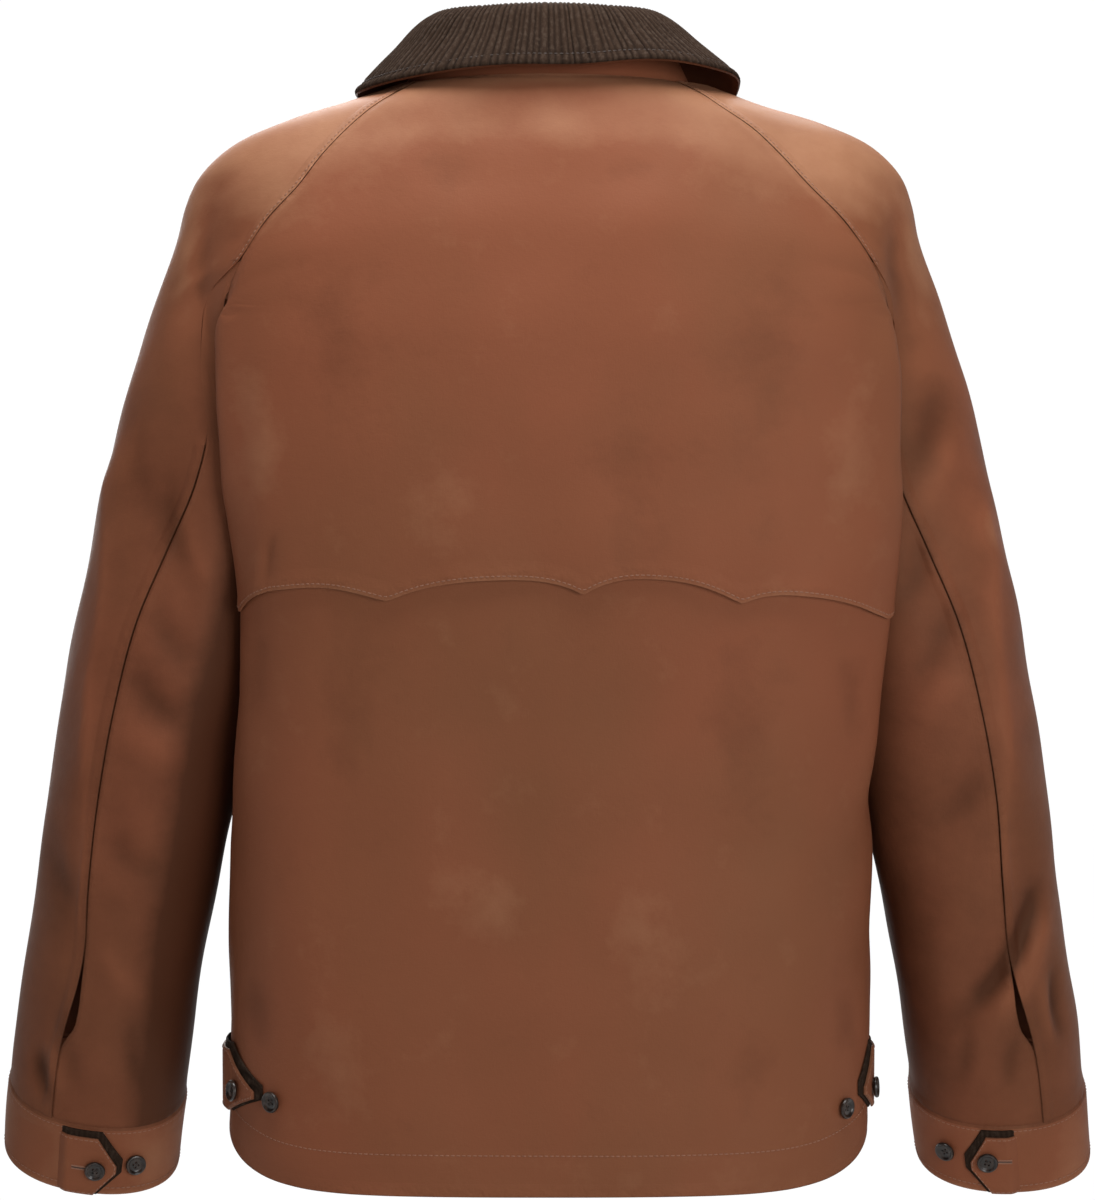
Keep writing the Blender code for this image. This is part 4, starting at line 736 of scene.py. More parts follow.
def waxed_cotton():
    wax = Finish("waxed_cotton")
    drift = (wax.noise(*DRIFT, (1.0, 1.0, 0.6)) - 0.42) * 3.4
    colour = wax.mix(drift.clamped(), RED_BROWN, OLIVE_BROWN)
    lifted, seam = wax.mark("lifted"), wax.mark("seam")
    blotch = wax.noise(*BLOTCH)
    # paler on crease ridges and edges, partly rubbed wax and partly painted highlight, and with the painted
    # sheen of the shoulders
    pale_wear_and_highlight_share = (lifted * 0.40 + (blotch - 0.58) * 0.8).clamped() * 0.75
    colour = wax.mix(pale_wear_and_highlight_share, colour, PALE_WEAR_AND_HIGHLIGHT)
    line, soft = (1.0 - seam / SEAM_DARK).clamped(), (1.0 - seam / SEAM_SOFT).clamped()
    # darker in crease troughs and on the sleeves as painted shade, along seams as a dark line, and in random
    # stains
    dark_stain_and_shade_share = (lifted * -0.42 + (0.40 - blotch) * 0.7 + line * 0.85 + soft * 0.16).clamped() * 0.85
    colour = wax.mix(dark_stain_and_shade_share, colour, DARK_STAIN_AND_SHADE)
    crinkle = wax.noise(*CRINKLE)
    weft = wax.noise(WEAVE, stretch=(THREAD_LONG, THREAD_LONG, 1.0))
    weave = wax.noise(WEAVE, stretch=(1.0, 1.0, THREAD_LONG)) + weft
    pucker = wax.noise(PUCKER) * (1.0 - seam / SEAM_PUCKER).clamped()
    normal = wax.bump(weave, WEAVE_DEEP, 0.5)
    normal = wax.bump(crinkle, CRINKLE_DEEP, 0.30, Normal=normal)
    normal = wax.bump(pucker, PUCKER_DEEP, 0.8, Normal=normal)
    gloss = 0.60 - pale_wear_and_highlight_share * 0.08 + (crinkle - 0.5) * 0.14
    return wax.feed(
        Base_Color=colour, Roughness=gloss, Normal=normal,
        Specular_IOR_Level=0.14, Specular_Tint=tone(1.0, 0.85, 0.60),
    )


COTTON = waxed_cotton()

# %% [markdown]
# ## Corduroy, horn and thread
#
# Corduroy is ribs of cut pile. The pile drinks light in the valleys and catches it on the crests, so the
# colour follows a mark that runs from valley to crest, and small tufts stand out paler. Horn is layered,
# dark and polished. The thread is plain brown cotton, a little paler than the cloth.

# %% Make the corduroy, the horn and the thread
VALLEY, CREST = tone(0.0040, 0.0024, 0.0017), tone(0.0290, 0.0170, 0.0112)
TUFT, PILE = tone(0.070, 0.050, 0.038), tone(0.038, 0.023, 0.0155)
HORN_DARK, HORN_PALE = tone(0.008, 0.005, 0.004), tone(0.040, 0.022, 0.014)
WORN, STREAK = (22.0, 4.0, 0.6), (260.0, 4.0, 0.6)
PILES, TUFTS, PLY = (1500.0, 3.0, 0.7, (1.0, 1.0, 0.5)), (420.0, 3.0, 0.7, (1.0, 1.0, 0.5)), 2200.0
PILE_DEEP, STREAK_DEEP, PLY_DEEP = 0.0003, 0.0001, 0.0001
PLY_SHADE = 0.55  # how dark a thread is painted between its plies, as shade


def corduroy():
    cord = Finish("corduroy")
    crest, worn = cord.mark("crest"), cord.noise(*WORN)
    colour = cord.mix((crest * 0.85 + (worn - 0.5) * 0.7).clamped(), VALLEY, CREST)
    pile, tufts = cord.noise(*PILES), cord.noise(*TUFTS)
    colour = cord.mix((crest * 0.4 + (tufts - 0.62) * 2.2).clamped(), colour, TUFT)
    colour = cord.mix((pile * 0.35).clamped(), colour, PILE)
    normal = cord.bump(pile, PILE_DEEP, 0.7)
    return cord.feed(Base_Color=colour, Roughness=0.92, Normal=normal, Specular_IOR_Level=0.03)


def horn():
    layers = Finish("horn")
    streak = layers.noise(*STREAK, (1.0, 0.4, 0.15))
    return layers.feed(
        Base_Color=layers.mix(((streak - 0.45) * 3.0).clamped(), HORN_DARK, HORN_PALE),
        Roughness=0.24 + streak * 0.14, Normal=layers.bump(streak, STREAK_DEEP, 0.5),
        Specular_IOR_Level=0.34, Coat_Weight=0.12, Coat_Roughness=0.10,
    )


def thread(name, *colour):
    twist = Finish(name)
    ply = twist.noise(PLY)
    colour = twist.mix(ply, tone(*(PLY_SHADE * c for c in colour)), tone(*colour))
    return twist.feed(Base_Color=colour, Roughness=0.7, Normal=twist.bump(ply, PLY_DEEP, 0.6))


CORDUROY_CLOTH, HORN = corduroy(), horn()
THREAD = thread("thread", 0.235, 0.100, 0.056)
DARK_THREAD = thread("dark_thread", 0.030, 0.016, 0.011)
print("finishes:", [material.name for material in bpy.data.materials])

# %% [markdown]
# ## From rows to cloth
#
# A panel's rows are up to 70 mm apart. Between them the cloth follows smooth curves, so the grid is read
# again at places a few millimetres apart, and closer still beside the seams, where a lap is only as wide
# as a finger's nail.

# %% Read a grid at finer places
SPACING = 0.0048
BESIDE_SEAM = np.array((0.0007, 0.0018, 0.0034, 0.0052, 0.0068, 0.0084))
CLOSEST = 0.001  # no even place is closer than this to those


def swap(grid):
    return grid.transpose(1, 0, 2)


def read_rows(grid, places):
    """The grid's rows at places between them, on smooth curves through each column."""
    chord = np.maximum(np.linalg.norm(np.diff(grid, axis=0), axis=2, keepdims=True), 1e-6)
    rise = np.diff(grid, axis=0) / chord
    inner = (rise[:-1] * chord[1:] + rise[1:] * chord[:-1]) / (chord[:-1] + chord[1:])
    slopes = np.concatenate((rise[:1], inner, rise[-1:]))
    i = np.clip(places.astype(int), 0, len(grid) - 2)
    t = (places - i)[:, None, None]
    return smooth_between(t, chord[i], grid[i], grid[i + 1], slopes[i], slopes[i + 1])


def read_grid(grid, rows, columns):
    return swap(read_rows(swap(read_rows(grid, rows)), columns))


def even_places(grid):
    """Places along a grid's rows that are evenly spaced, and closer at both ends."""
    steps = np.percentile(np.linalg.norm(np.diff(grid, axis=0), axis=2), 80, axis=1)
    along = np.concatenate(((0.0,), np.cumsum(steps)))
    inner = np.linspace(0.0, along[-1], int(np.ceil(along[-1] / SPACING)) + 1)
    near = BESIDE_SEAM[-1] + CLOSEST
    inner = inner[(inner > near) & (inner < along[-1] - near)]
    wanted = np.concatenate(((0.0,), BESIDE_SEAM, inner, along[-1] - BESIDE_SEAM[::-1], along[-1:]))
    return np.interp(wanted, along, np.arange(len(grid)))


# %% [markdown]
# ## Creases
#
# The big folds are in the frame. The lesser creases are listed here one by one, each a soft trough or ridge
# along a bent line, seen from behind or from in front: no two are alike in length, depth or spacing. A
# cloth simulation would put them where it pleased, while a worn jacket creases at the armhole, elbow and
# wrist.

# %% The creases, in millimetres from the neck
BEHIND, BEFORE = 1, -1
ROUND, SHARP = False, True
CREASES = {
    # top x, top z, low x, low z, bend, width, height
    (BEHIND, ROUND): (
       (228, -82, 231, -150, 4, 7, -2.4), (238, -70, 246, -140, -3, 12, 1.8),
       (-237, -88, -240, -158, 4, 7, -2.4), (-247, -75, -252, -150, 3, 12, 1.8),
       (222, -110, 190, -95, 2, 9, -1.2), (-228, -112, -195, -92, -2, 9, -1.2),
       (276, -235, 262, -300, 5, 11, -1.5), (252, -262, 238, -330, 6, 9, -2.2),
       (243, -292, 226, -338, 4, 7, 1.7), (262, -352, 238, -392, 5, 10, -1.8),
       (275, -398, 246, -430, 6, 11, -2), (286, -440, 252, -462, -6, 12, 1.5),
       (292, -505, 262, -538, 6, 10, -1.7), (338, -512, 322, -560, 3, 9, -1.8),
       (300, -585, 274, -622, 5, 9, 1.5), (350, -660, 344, -690, 3, 5, -3.3),
       (343, -652, 338, -688, -2, 5, 1.8), (330, -628, 322, -684, 3, 7, -1.4),
       (286, -640, 280, -685, 3, 6, -1.5), (-262, -212, -240, -262, -6, 12, -2.1),
       (-270, -240, -247, -292, -5, 10, 1.7), (-252, -306, -236, -352, -5, 9, -1.8),
       (-268, -352, -245, -402, -6, 10, -1.8), (-284, -404, -252, -436, 6, 12, 1.5),
       (-292, -462, -262, -498, -6, 11, -1.8), (-332, -545, -298, -618, -6, 8, -5.2),
       (-340, -560, -308, -634, -5, 8, 3), (-300, -606, -276, -640, -4, 8, -1.7),
       (-347, -602, -354, -650, 3, 5, -3.6), (-340, -606, -348, -652, 2, 5, 2),
       (-322, -650, -316, -684, 2, 6, -1.5), (-286, -640, -283, -684, -3, 6, -1.5),
       (179, -308, 181, -342, 1, 4, -2.2), (150, -120, 120, -215, 8, 26, -1.1),
       (-152, -128, -124, -240, -8, 28, -1.1), (196, -200, 186, -290, -5, 14, 1.1),
       (-206, -205, -196, -300, 5, 14, 1.1), (90, -46, 40, -70, 6, 18, -1), (-92, -48, -36, -72, -6, 18, -1),
       (20, -36, -30, -40, 3, 13, 0.9), (60, -250, 70, -325, 5, 22, 1), (-62, -240, -56, -322, 5, 24, -1),
       (120, -360, 132, -470, 5, 20, -1.1), (-118, -372, -128, -500, -5, 22, -1.1),
       (190, -372, 196, -430, 3, 10, -1.5), (-196, -385, -202, -440, -3, 10, -1.5),
       (60, -520, 20, -560, 6, 22, 1), (-40, -560, -90, -590, -5, 24, 1), (150, -610, 120, -680, 5, 18, 1),
       (-146, -620, -120, -690, -5, 18, -1), (196, -600, 190, -650, 3, 9, -1.5),
       (-196, -606, -200, -652, -3, 9, -1.5),
    ),
    (BEHIND, SHARP): (
       (300, -266, 305, -385, -3, 5, 2.6), (305, -385, 311, -480, 2, 4, 3),
       (311, -480, 318, -575, 0, 5, 2.3), (-297, -288, -304, -322, 2, 6, 3),
       (-303, -322, -304, -395, 2, 5, 3), (-304, -395, -309, -480, -2, 5, 2.8),
       (-309, -480, -311, -540, 2, 6, 2.1),
    ),
    (BEFORE, ROUND): (
       (150, -120, 120, -200, 6, 16, -1.8), (-150, -124, -124, -210, -6, 16, -1.8),
       (196, -190, 170, -262, 5, 12, 2), (-196, -194, -172, -270, -5, 12, 2),
       (206, -230, 160, -285, 5, 10, -2.1), (-206, -232, -164, -290, -5, 10, -2.1),
       (90, -360, 104, -520, 6, 18, -1.4), (-86, -350, -98, -540, -6, 18, -1.4),
       (170, -420, 176, -600, 4, 16, 1.5), (-168, -430, -180, -610, -4, 16, 1.5),
       (60, -600, 74, -690, 3, 12, -1.5), (-62, -590, -70, -690, -3, 12, -1.5),
       (262, -200, 290, -262, 6, 12, -2), (-260, -204, -290, -268, -6, 12, -2),
       (252, -300, 300, -350, 5, 11, 2.2), (-252, -306, -300, -352, -5, 11, 2.2),
       (262, -350, 312, -392, 6, 10, -2.7), (-262, -352, -312, -396, -6, 10, -2.7),
       (272, -402, 322, -432, 5, 10, 2.1), (-270, -404, -322, -436, -5, 10, 2.1),
       (282, -452, 330, -488, 4, 11, -2.1), (-282, -456, -332, -492, -4, 11, -2.1),
       (300, -600, 340, -640, 4, 9, -2.2), (-300, -604, -342, -646, -4, 9, -2.2),
       (306, -640, 338, -680, 3, 7, 1.7), (-306, -642, -340, -682, -3, 7, 1.7),
    ),
}
CREASE_END, CREASE_SWELL = 0.25, 0.7  # how high it is at its ends, and how fast it swells from there
FULLY_FACING = 0.4  # a crease fades where the cloth turns further away than this
SLACK_SEED = 7
SLACK, SLACK_WAVES, SLACK_LONG = 0.0009, 9, (0.050, 0.150)  # how unevenly the cloth hangs between its creases


def bent_line(start, end, bend, count=7):
    """Points of a curve between two points that bows out sideways in its middle."""
    steps = np.linspace(0.0, 1.0, count)[:, None]
    run = end - start
    aside = np.array((-run[1], run[0])) / np.linalg.norm(run)
    return start + run * steps + aside * bend * 4 * steps * (1 - steps)


def crease_rise(grid, facing):
    """How far each point stands proud or sinks, from all the creases that it is near."""
    flat, backward = grid.reshape(-1, 3)[:, (0, 2)], facing.reshape(-1, 3)[:, 1]
    rise = np.zeros(len(flat))
    for (face, sharp), creases in CREASES.items():
        for crease in creases:
            start, end, (bend, width, height) = np.split(MM * np.array(crease), (2, 4))
            reach = 4 * width + np.linalg.norm(end - start) / 2
            beside = np.linalg.norm(flat - (start + end) / 2, axis=1) < reach
            close = np.nonzero(beside & (face * backward > 0.0))[0]
            line = bent_line(start, end, bend)
            away, along = np.full(len(close), 1.0), np.zeros(len(close))
            for i, (a, b) in enumerate(zip(line, line[1:])):
                share = np.clip((flat[close] - a) @ (b - a) / ((b - a) @ (b - a)), 0.0, 1.0)
                gap = np.linalg.norm(flat[close] - a - share[:, None] * (b - a), axis=1)
                along = np.where(gap < away, (i + share) / (len(line) - 1), along)
                away = np.minimum(gap, away)
            fade = np.exp(-away / width) if sharp else np.exp(-(away / width) ** 2)
            swell = np.sin(math.pi * np.clip(along, 0.0, 1.0)) ** CREASE_SWELL
            fade *= CREASE_END + (1 - CREASE_END) * swell
            rise[close] += height * fade * smooth_step(0.0, FULLY_FACING, face * backward[close])
    return rise.reshape(grid.shape[:2])


def slack_rise(grid):
    """A slow unevenness, from waves that run every way."""
    waves = unit(np.random.default_rng(SLACK_SEED).normal(size=(SLACK_WAVES, 3)))
    lengths = np.linspace(*SLACK_LONG, SLACK_WAVES)
    rise = sum(np.sin(grid @ wave * 2 * math.pi / length + i)
               for i, (wave, length) in enumerate(zip(waves, lengths)))
    return SLACK * rise / 3


print("creases:", sum(len(creases) for creases in CREASES.values()))

# %% [markdown]
# ## Seams, painted sheen and painted shade
#
# At a lapped seam one panel lies over the other: its edge holds two turned layers and stands a little
# proud, and the other panel's edge dips under it. A hem is cloth turned up twice. Each panel says what
# its four edges are, and its points rise or sink with their distance from them. Painted sheen and shade
# follow the way the cloth faces: the shoulders are painted paler where they face up, and the sleeves are
# painted darker low down and beside the body.

# %% What each edge is
EDGES = {
    "back": {"first": "side, then deep", "last": "side, then deep", "low": "hem", "top": "deep"},
    "front": {"last": "side", "low": "hem", "top": "under"},
    "top": {"first": "over", "last": "over", "low": "under", "top": "under"},
    "under": {"first": "under", "last": "under", "low": "under", "top": "side"},
}
LAP = 0.0007  # how proud a lapped edge stands
LAP_WIDE, LAP_END = 0.0060, 0.0082
EDGE_ROUND, EDGE_ROUND_WIDE = 0.0005, 0.0007  # how far its corner is rounded off
TUCK = 0.0008  # how far the edge under it dips
TUCK_TWO = 0.0019  # and where two layers lie under it
DIPS = {"under": (TUCK, 0.0030), "side": (TUCK / 3, 0.0030), "deep": (TUCK_TWO, 0.0100)}  # how deep, how wide
SIDE_SEAM_END = (ARMPIT - 0.006, ARMPIT + 0.020)  # the side seam turns into the armhole between these heights
FLUSH = (-0.1245, -0.1285, -0.236, -0.246)  # between these heights the sleeve's seam lies flush:
FLUSH_AWAY = 0.02  # there its edge counts as this far away
HEM_WIDE, HEM_END = 0.0270, 0.0300  # the turned hem, up to its stitching and to its end
HEM_PROUD = 0.0006
HEM_GROOVE, HEM_GROOVE_WIDE = 0.0005, 0.0022  # the stitching presses it in
SEAM_GAP = 0.00018  # each panel's edge is drawn in this far
CREASED_FROM = 0.012  # creases fade out this close to a seam
FULL_LIFT = 0.002  # a crease this high marks the cloth as fully lifted
SLEEVE_PAINTED_SHADE = 1.05  # how much darker the sleeves are painted, as shade, in the measure of a trough
SLEEVE_SHADE_TOP, SLEEVE_SHADE_FULL = 0.070, 0.260  # depths below the neck where that starts and is full
SLEEVE_SHADE_BESIDE_BODY = (2.8, 0.6)  # and how much more painted shade on the side next to the body, left and right
INWARD = (0.10, 0.75)  # how much it faces inward there
PAINTED_SHEEN, PAINTED_SHEEN_SLEEVE = 1.5, 1.2 * 1.5  # how much paler the shoulders are painted, as a sheen, in the measure of a ridge,
UPWARD, UPWARD_SLEEVE = (0.27, 0.75), (0.05, 0.60)  # and how much the cloth faces up there


def bell(away, wide):
    """1 at a line, fading softly on both sides of it."""
    return np.exp(-(away / wide) ** 2)


def fading(away, wide):
    """1 at an edge, fading fast beside it."""
    return np.exp(-away / wide)


def border_lines(grid, edge):
    """The grid's lines that start at an edge."""
    return {"first": grid, "last": grid[:, ::-1], "low": swap(grid), "top": swap(grid[::-1])}[edge]


def border_distance(grid, *edges):
    """Each point's distance from the nearest of these edges, along the line that starts there."""
    found = []
    for edge in edges:
        steps = np.linalg.norm(np.diff(border_lines(grid, edge), axis=1), axis=2)
        along = np.concatenate((np.zeros((len(steps), 1)), np.cumsum(steps, axis=1)), axis=1)
        found.append({"first": along, "last": along[:, ::-1], "low": along.T, "top": along.T[::-1]}[edge])
    return np.minimum.reduce(found)


def edge_rise(kind, away, height):
    if kind == "side, then deep":
        armhole = smooth_step(*SIDE_SEAM_END, height)
        return edge_rise("side", away, height) * (1.0 - armhole) + edge_rise("deep", away, height) * armhole
    if kind == "over":
        rounded = EDGE_ROUND * fading(away, EDGE_ROUND_WIDE)
        return LAP * (1.0 - smooth_step(LAP_WIDE, LAP_END, away)) - rounded
    if kind == "hem":
        stitched = HEM_GROOVE * bell(away - HEM_WIDE, HEM_GROOVE_WIDE)
        return HEM_PROUD * (1.0 - smooth_step(HEM_WIDE, HEM_END, away)) - stitched
    dip, wide = DIPS[kind]
    return -dip * (1.0 - smooth_step(0.0, wide, away))


def flush_share(name, height):
    """1 where a sleeve panel's long seam lies flush, 0 elsewhere."""
    above, full, still, below = FLUSH
    share = smooth_step(-above, -full, -height) * (1.0 - smooth_step(-still, -below, -height))
    return share * ("sleeve" in name)


def painted_sheen_and_shade(name, grid, facing):
    """Painted sheen where the cloth faces up, and painted shade on a sleeve, low down and on its inner side.
    """
    if "sleeve" not in name:
        # painted sheen: paler where the cloth faces up
        return PAINTED_SHEEN * smooth_step(*UPWARD, facing[..., 2])
    pale = PAINTED_SHEEN_SLEEVE * smooth_step(*UPWARD_SLEEVE, facing[..., 2])
    inward = -np.sign(grid[..., 0]) * facing[..., 0]
    # painted shade: the sleeve is darker low down, and more on its side next to the body
    low = smooth_step(SLEEVE_SHADE_TOP, SLEEVE_SHADE_FULL, -grid[..., 2])
    beside = np.where(grid[..., 0] > 0, *SLEEVE_SHADE_BESIDE_BODY)
    return pale - SLEEVE_PAINTED_SHADE * (low + beside * smooth_step(*INWARD, inward))


def square_to_edge(line, inner, normals):
    """Unit steps from an edge's points into the panel, square to the edge and lying in the cloth."""
    into = unit(np.cross(normals, directions(line[None], 1)[0]))
    return into if np.sum(into * (inner - line)) > 0 else -into


def dress_panel(name, places):
    """A panel's fine outer points, their normals, and the marks for its finish."""
    grid, edges = read_grid(grids[name], *places), EDGES[name.split("_")[0]]
    outside = normals[name][grids[name].shape[0] // 2, grids[name].shape[1] // 2]
    facing = row_normals(grid, outside)
    lifted = crease_rise(grid, facing)
    away = {edge: border_distance(grid, edge) for edge in edges}
    flush = flush_share(name, grid[..., 2])
    for edge in away.keys() & {"first", "last"}:
        away[edge] = away[edge] + FLUSH_AWAY * flush
    nearest = np.minimum.reduce(list(away.values()))
    rise = (lifted + slack_rise(grid)) * smooth_step(0.0, CREASED_FROM, nearest)
    rise = rise + sum(edge_rise(kind, away[edge], grid[..., 2]) for edge, kind in edges.items())
    fine = grid + facing * rise[..., None]
    for edge, inner in ((0, 1), (-1, -2)):
        apart = SEAM_GAP * (1.0 - flush[:, edge])[:, None]
        fine[:, edge] += apart * square_to_edge(fine[:, edge], fine[:, inner], facing[:, edge])
        fine[edge] += SEAM_GAP * square_to_edge(fine[edge], fine[inner], facing[edge])
    # the lifted mark paints the creases, paler on ridges, partly rubbed wax and partly painted highlight,
    # with painted shade in troughs, and carries the painted sheen and shade
    marks = {"lifted": lifted / FULL_LIFT + painted_sheen_and_shade(name, grid, facing), "seam": nearest}
    return fine, row_normals(fine, outside), marks


# %% [markdown]
# ## Shells
#
# A piece of cloth is a closed shell: outer points, the same points moved in by the cloth's thickness,
# and a narrow rim. A Solidify modifier would do much the same, but here the inner points keep to the
# true normals and some pieces have a rounded edge, so the shell is built from its two grids of points.

# %% Build a shell
PIECES = {}


def put(name, data):
    """A new object in the scene."""
    item = bpy.data.objects.new(name, data)
    bpy.context.scene.collection.objects.link(item)
    return item


def grid_faces(rows, columns, ring, first=0, flip=False):
    across = np.arange(columns if ring else columns - 1)
    start = first + np.arange(rows - 1)[:, None] * columns
    a, b = start + across[None, :], start + (across[None, :] + 1) % columns
    quads = np.stack((a, b, b + columns, a + columns), axis=2).reshape(-1, 4)
    return quads[:, ::-1] if flip else quads


def rim_faces(rows, columns, ring):
    count, last = rows * columns, (rows - 1) * columns
    turn = np.arange(columns if ring else columns - 1)
    after = (turn + 1) % columns
    rims = [(turn + count, after + count, after, turn),
            (last + turn, last + after, last + after + count, last + turn + count)]
    if not ring:
        up = np.arange(rows - 1) * columns
        rims.append((up, up + columns, up + columns + count, up + count))
        up = up + columns - 1
        rims.append((up + count, up + columns + count, up + columns, up))
    return np.concatenate([np.stack(rim, axis=1) for rim in rims])


def finish_mesh(name, points, faces, material, node=None, marks=None, smooth=55.0):
    mesh = bpy.data.meshes.new(name)
    mesh.from_pydata([tuple(p) for p in points], [], [tuple(int(i) for i in face) for face in faces])
    for mark, values in (marks or {}).items():
        layer = mesh.attributes.new(mark, "FLOAT", "POINT")
        layer.data.foreach_set("value", np.asarray(values, dtype=np.float32).ravel())
    mesh.materials.append(material)
    mesh.shade_smooth()
    mesh.set_sharp_from_angle(angle=math.radians(smooth))
    piece = put(name, mesh)
    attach(piece, "root")
    if node:
        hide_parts(node)
    PIECES[name] = piece
    return piece


def shell(name, outer, inner, material, node=None, ring=False, marks=None):
    """A closed shell between two grids of points of the same size."""
    rows, columns = outer.shape[:2]
    faces = np.concatenate((
        grid_faces(rows, columns, ring), grid_faces(rows, columns, ring, rows * columns, True),
        rim_faces(rows, columns, ring)))
    points = np.concatenate((outer.reshape(-1, 3), inner.reshape(-1, 3)))
    a, b, c, d = (points[faces[:, i]] for i in range(4))
    volume = np.sum(np.cross(a, b) * c) + np.sum(np.cross(a, c) * d)
    if volume < 0:
        faces = faces[:, ::-1]
    both = {mark: np.concatenate((values.ravel(), values.ravel())) for mark, values in (marks or {}).items()}
    return finish_mesh(name, points, faces, material, node, both)


def sheet_shell(name, outer, inner, material, rests_on, marks, ring=False):
    """A shell that replaces its node, and the flat cut that its cloth was made from."""
    piece = shell(name, outer, inner, material, name, ring, marks)
    loop = np.concatenate((outer, outer[:, :1]), axis=1) if ring else outer
    wide = float(np.linalg.norm(np.diff(loop, axis=1), axis=2).sum(axis=1).max())
    long = float(np.linalg.norm(np.diff(loop, axis=0), axis=2).sum(axis=0).max())
    crossed = np.cross(loop[1:, 1:] - loop[:-1, :-1], loop[1:, :-1] - loop[:-1, 1:])
    area = min(max(float(np.linalg.norm(crossed, axis=2).sum() / 2), 0.3 * wide * long), wide * long)
    print("%-24s cut %4.0f x %4.0f mm, %.4f m2" % (name, wide * 1000, long * 1000, area))


# %% [markdown]
# ## The seven panels
#
# Back, two fronts, and a top and an under sleeve for each arm. The fronts share their places, so that
# the placket can be made from both.

# %% Sew the panels
RESTS_ON = {"back": "collar_under", "front": "collar_under", "top": "back"}
fine, fine_normals, fine_places = {}, {}, {}
for name, grid in grids.items():
    fine_places[name] = even_places(grid), even_places(swap(grid))
    if name == "front_right":
        fine_places[name] = fine_places["front_left"]
    outer, facing, marks = dress_panel(name, fine_places[name])
    fine[name], fine_normals[name] = outer, facing
    rests_on = RESTS_ON.get(name.split("_")[0], name.replace("under", "top"))
    sheet_shell(name, outer, outer - facing * CLOTH, COTTON, [rests_on], marks)

# %% [markdown]
# ## Stitches
#
# A line of sewing is many short stitches of thread that dive into the cloth at both ends. Each is a
# small bar with sunk ends. Drawing them as a dashed texture would be cheaper, but real bars catch the
# light and throw the tiny shadows that make a seam look sewn.

# %% Lay stitches along a line
STITCH, STITCH_GAP, THREAD_RADIUS = 0.0026, 0.0010, 0.00036
BAR_RINGS = ((0.0, -0.7), (0.18, 0.5), (0.82, 0.5), (1.0, -0.7))  # share along the bar, radii above the cloth
BAR_FLAT = 0.8


def stitch_bars(name, starts, ends, ups, material, radius=THREAD_RADIUS):
    """A bar of thread for each pair of points, sunk at both ends."""
    aside = unit(np.cross(unit(ends - starts), ups))
    rings = []
    for share, lift in BAR_RINGS:
        middle = starts + (ends - starts) * share + ups * radius * lift
        for turn in (0.0, 90.0, 180.0, 270.0):
            cos, sin = math.cos(math.radians(turn)), math.sin(math.radians(turn))
            rings.append(middle + radius * (aside * cos + ups * sin * BAR_FLAT))
    faces = np.concatenate((grid_faces(4, 4, True), [(3, 2, 1, 0), (12, 13, 14, 15)]))
    every = (np.arange(len(starts))[:, None, None] * 16 + faces[None]).reshape(-1, 4)
    return finish_mesh(name, np.stack(rings, axis=1).reshape(-1, 3), every, material, smooth=80.0)


def sewn_line(line, ups):
    """The ends of each stitch along a line, and which way is up there."""
    along = run_along(line)
    first = np.arange(0.0, along[-1] - STITCH, STITCH + STITCH_GAP)
    return at(first, along, line), at(first + STITCH, along, line), unit(at(first + STITCH / 2, along, ups))


def inset_line(grid, facing, edge, distance):
    """Points and normals on a panel at a distance from one of its edges."""
    lines, ups = border_lines(grid, edge), border_lines(facing, edge)
    return tuple(np.array([at(distance, run_along(line), values) for line, values in zip(lines, each)])
                 for each in (lines, ups))


def sew(name, lines, material=THREAD):
    """One piece with the stitches of several lines."""
    ends = [sewn_line(*line) for line in lines if len(line[0]) > 2]
    starts, stops, ups = (np.concatenate(each) for each in zip(*ends))
    print("%-24s %d stitches" % (name, len(starts)))
    stitch_bars(name, starts, stops, ups, material)


# %% Topstitch the raglan seams and the hem
RAGLAN_STITCH = 0.0024
RAGLAN_STITCH_END = UNDER_SLEEVE_TOP - 0.007


def along_panel(name, edge, distance):
    return inset_line(fine[name], fine_normals[name], edge, distance)


for side, label in SIDES:
    lines = []
    for edge in ("first", "last"):
        line, ups = along_panel("top_sleeve_" + label, edge, RAGLAN_STITCH)
        seen = line[:, 2] > RAGLAN_STITCH_END
        lines.append((line[seen], ups[seen]))
    sew("raglan_stitches_" + label, lines)
    sew("hem_stitches_front_" + label, [along_panel("front_" + label, "low", HEM_WIDE)])
sew("hem_stitches_back", [along_panel("back", "low", HEM_WIDE)])

# %% [markdown]
# ## The storm cape
#
# The cape is a second layer over the upper back, sewn in at the neck and the raglan seams, with a free
# lower edge cut in four scallops. It copies the back's own points from that edge up and stands off them
# a little at the bottom, where rain should drip clear.

# %% The cape's free edge
# Each scallop runs between two points of the edge: columns from the middle and heights.
SCALLOPS = Table("column point rise skew", (
    -7.6, -362.2, 9, 1.25,  -3.95, -352, 12.5, 1.15,  -0.33, -346.2, 11, 0.9,  3.87, -350, 12.5, 1.25,
    7.62, -358, 12.5, 1.25,
), plain="column skew")
SIDE_RISE, SIDE_RISE_OVER = 0.0030, 0.4  # past the outer points the edge turns up to the fold, over this much
FULLNESS = 2.6  # how flat a scallop's top is
CAPE_STAND, CAPE_GAP = 0.0035, 0.0004
CAPE_STANDS = (0.27, 0.36)  # it stands off over these depths below the neck,
CAPE_SIDES = (0.86, 1.0)  # and less toward its sides
CAPE_WIDE, CAPE_SIDE = -0.148, -0.175
CAPE_HEM = 0.0026  # from the free edge to its stitching
CAPE_TURNED = (0.0050, 0.0070)  # the turned edge ends over this distance
CAPE_PROUD, CAPE_ROUND, CAPE_ROUND_WIDE = 0.0004, 0.0005, 0.0006
CAPE_GROOVE, CAPE_GROOVE_WIDE = 0.0004, 0.0009
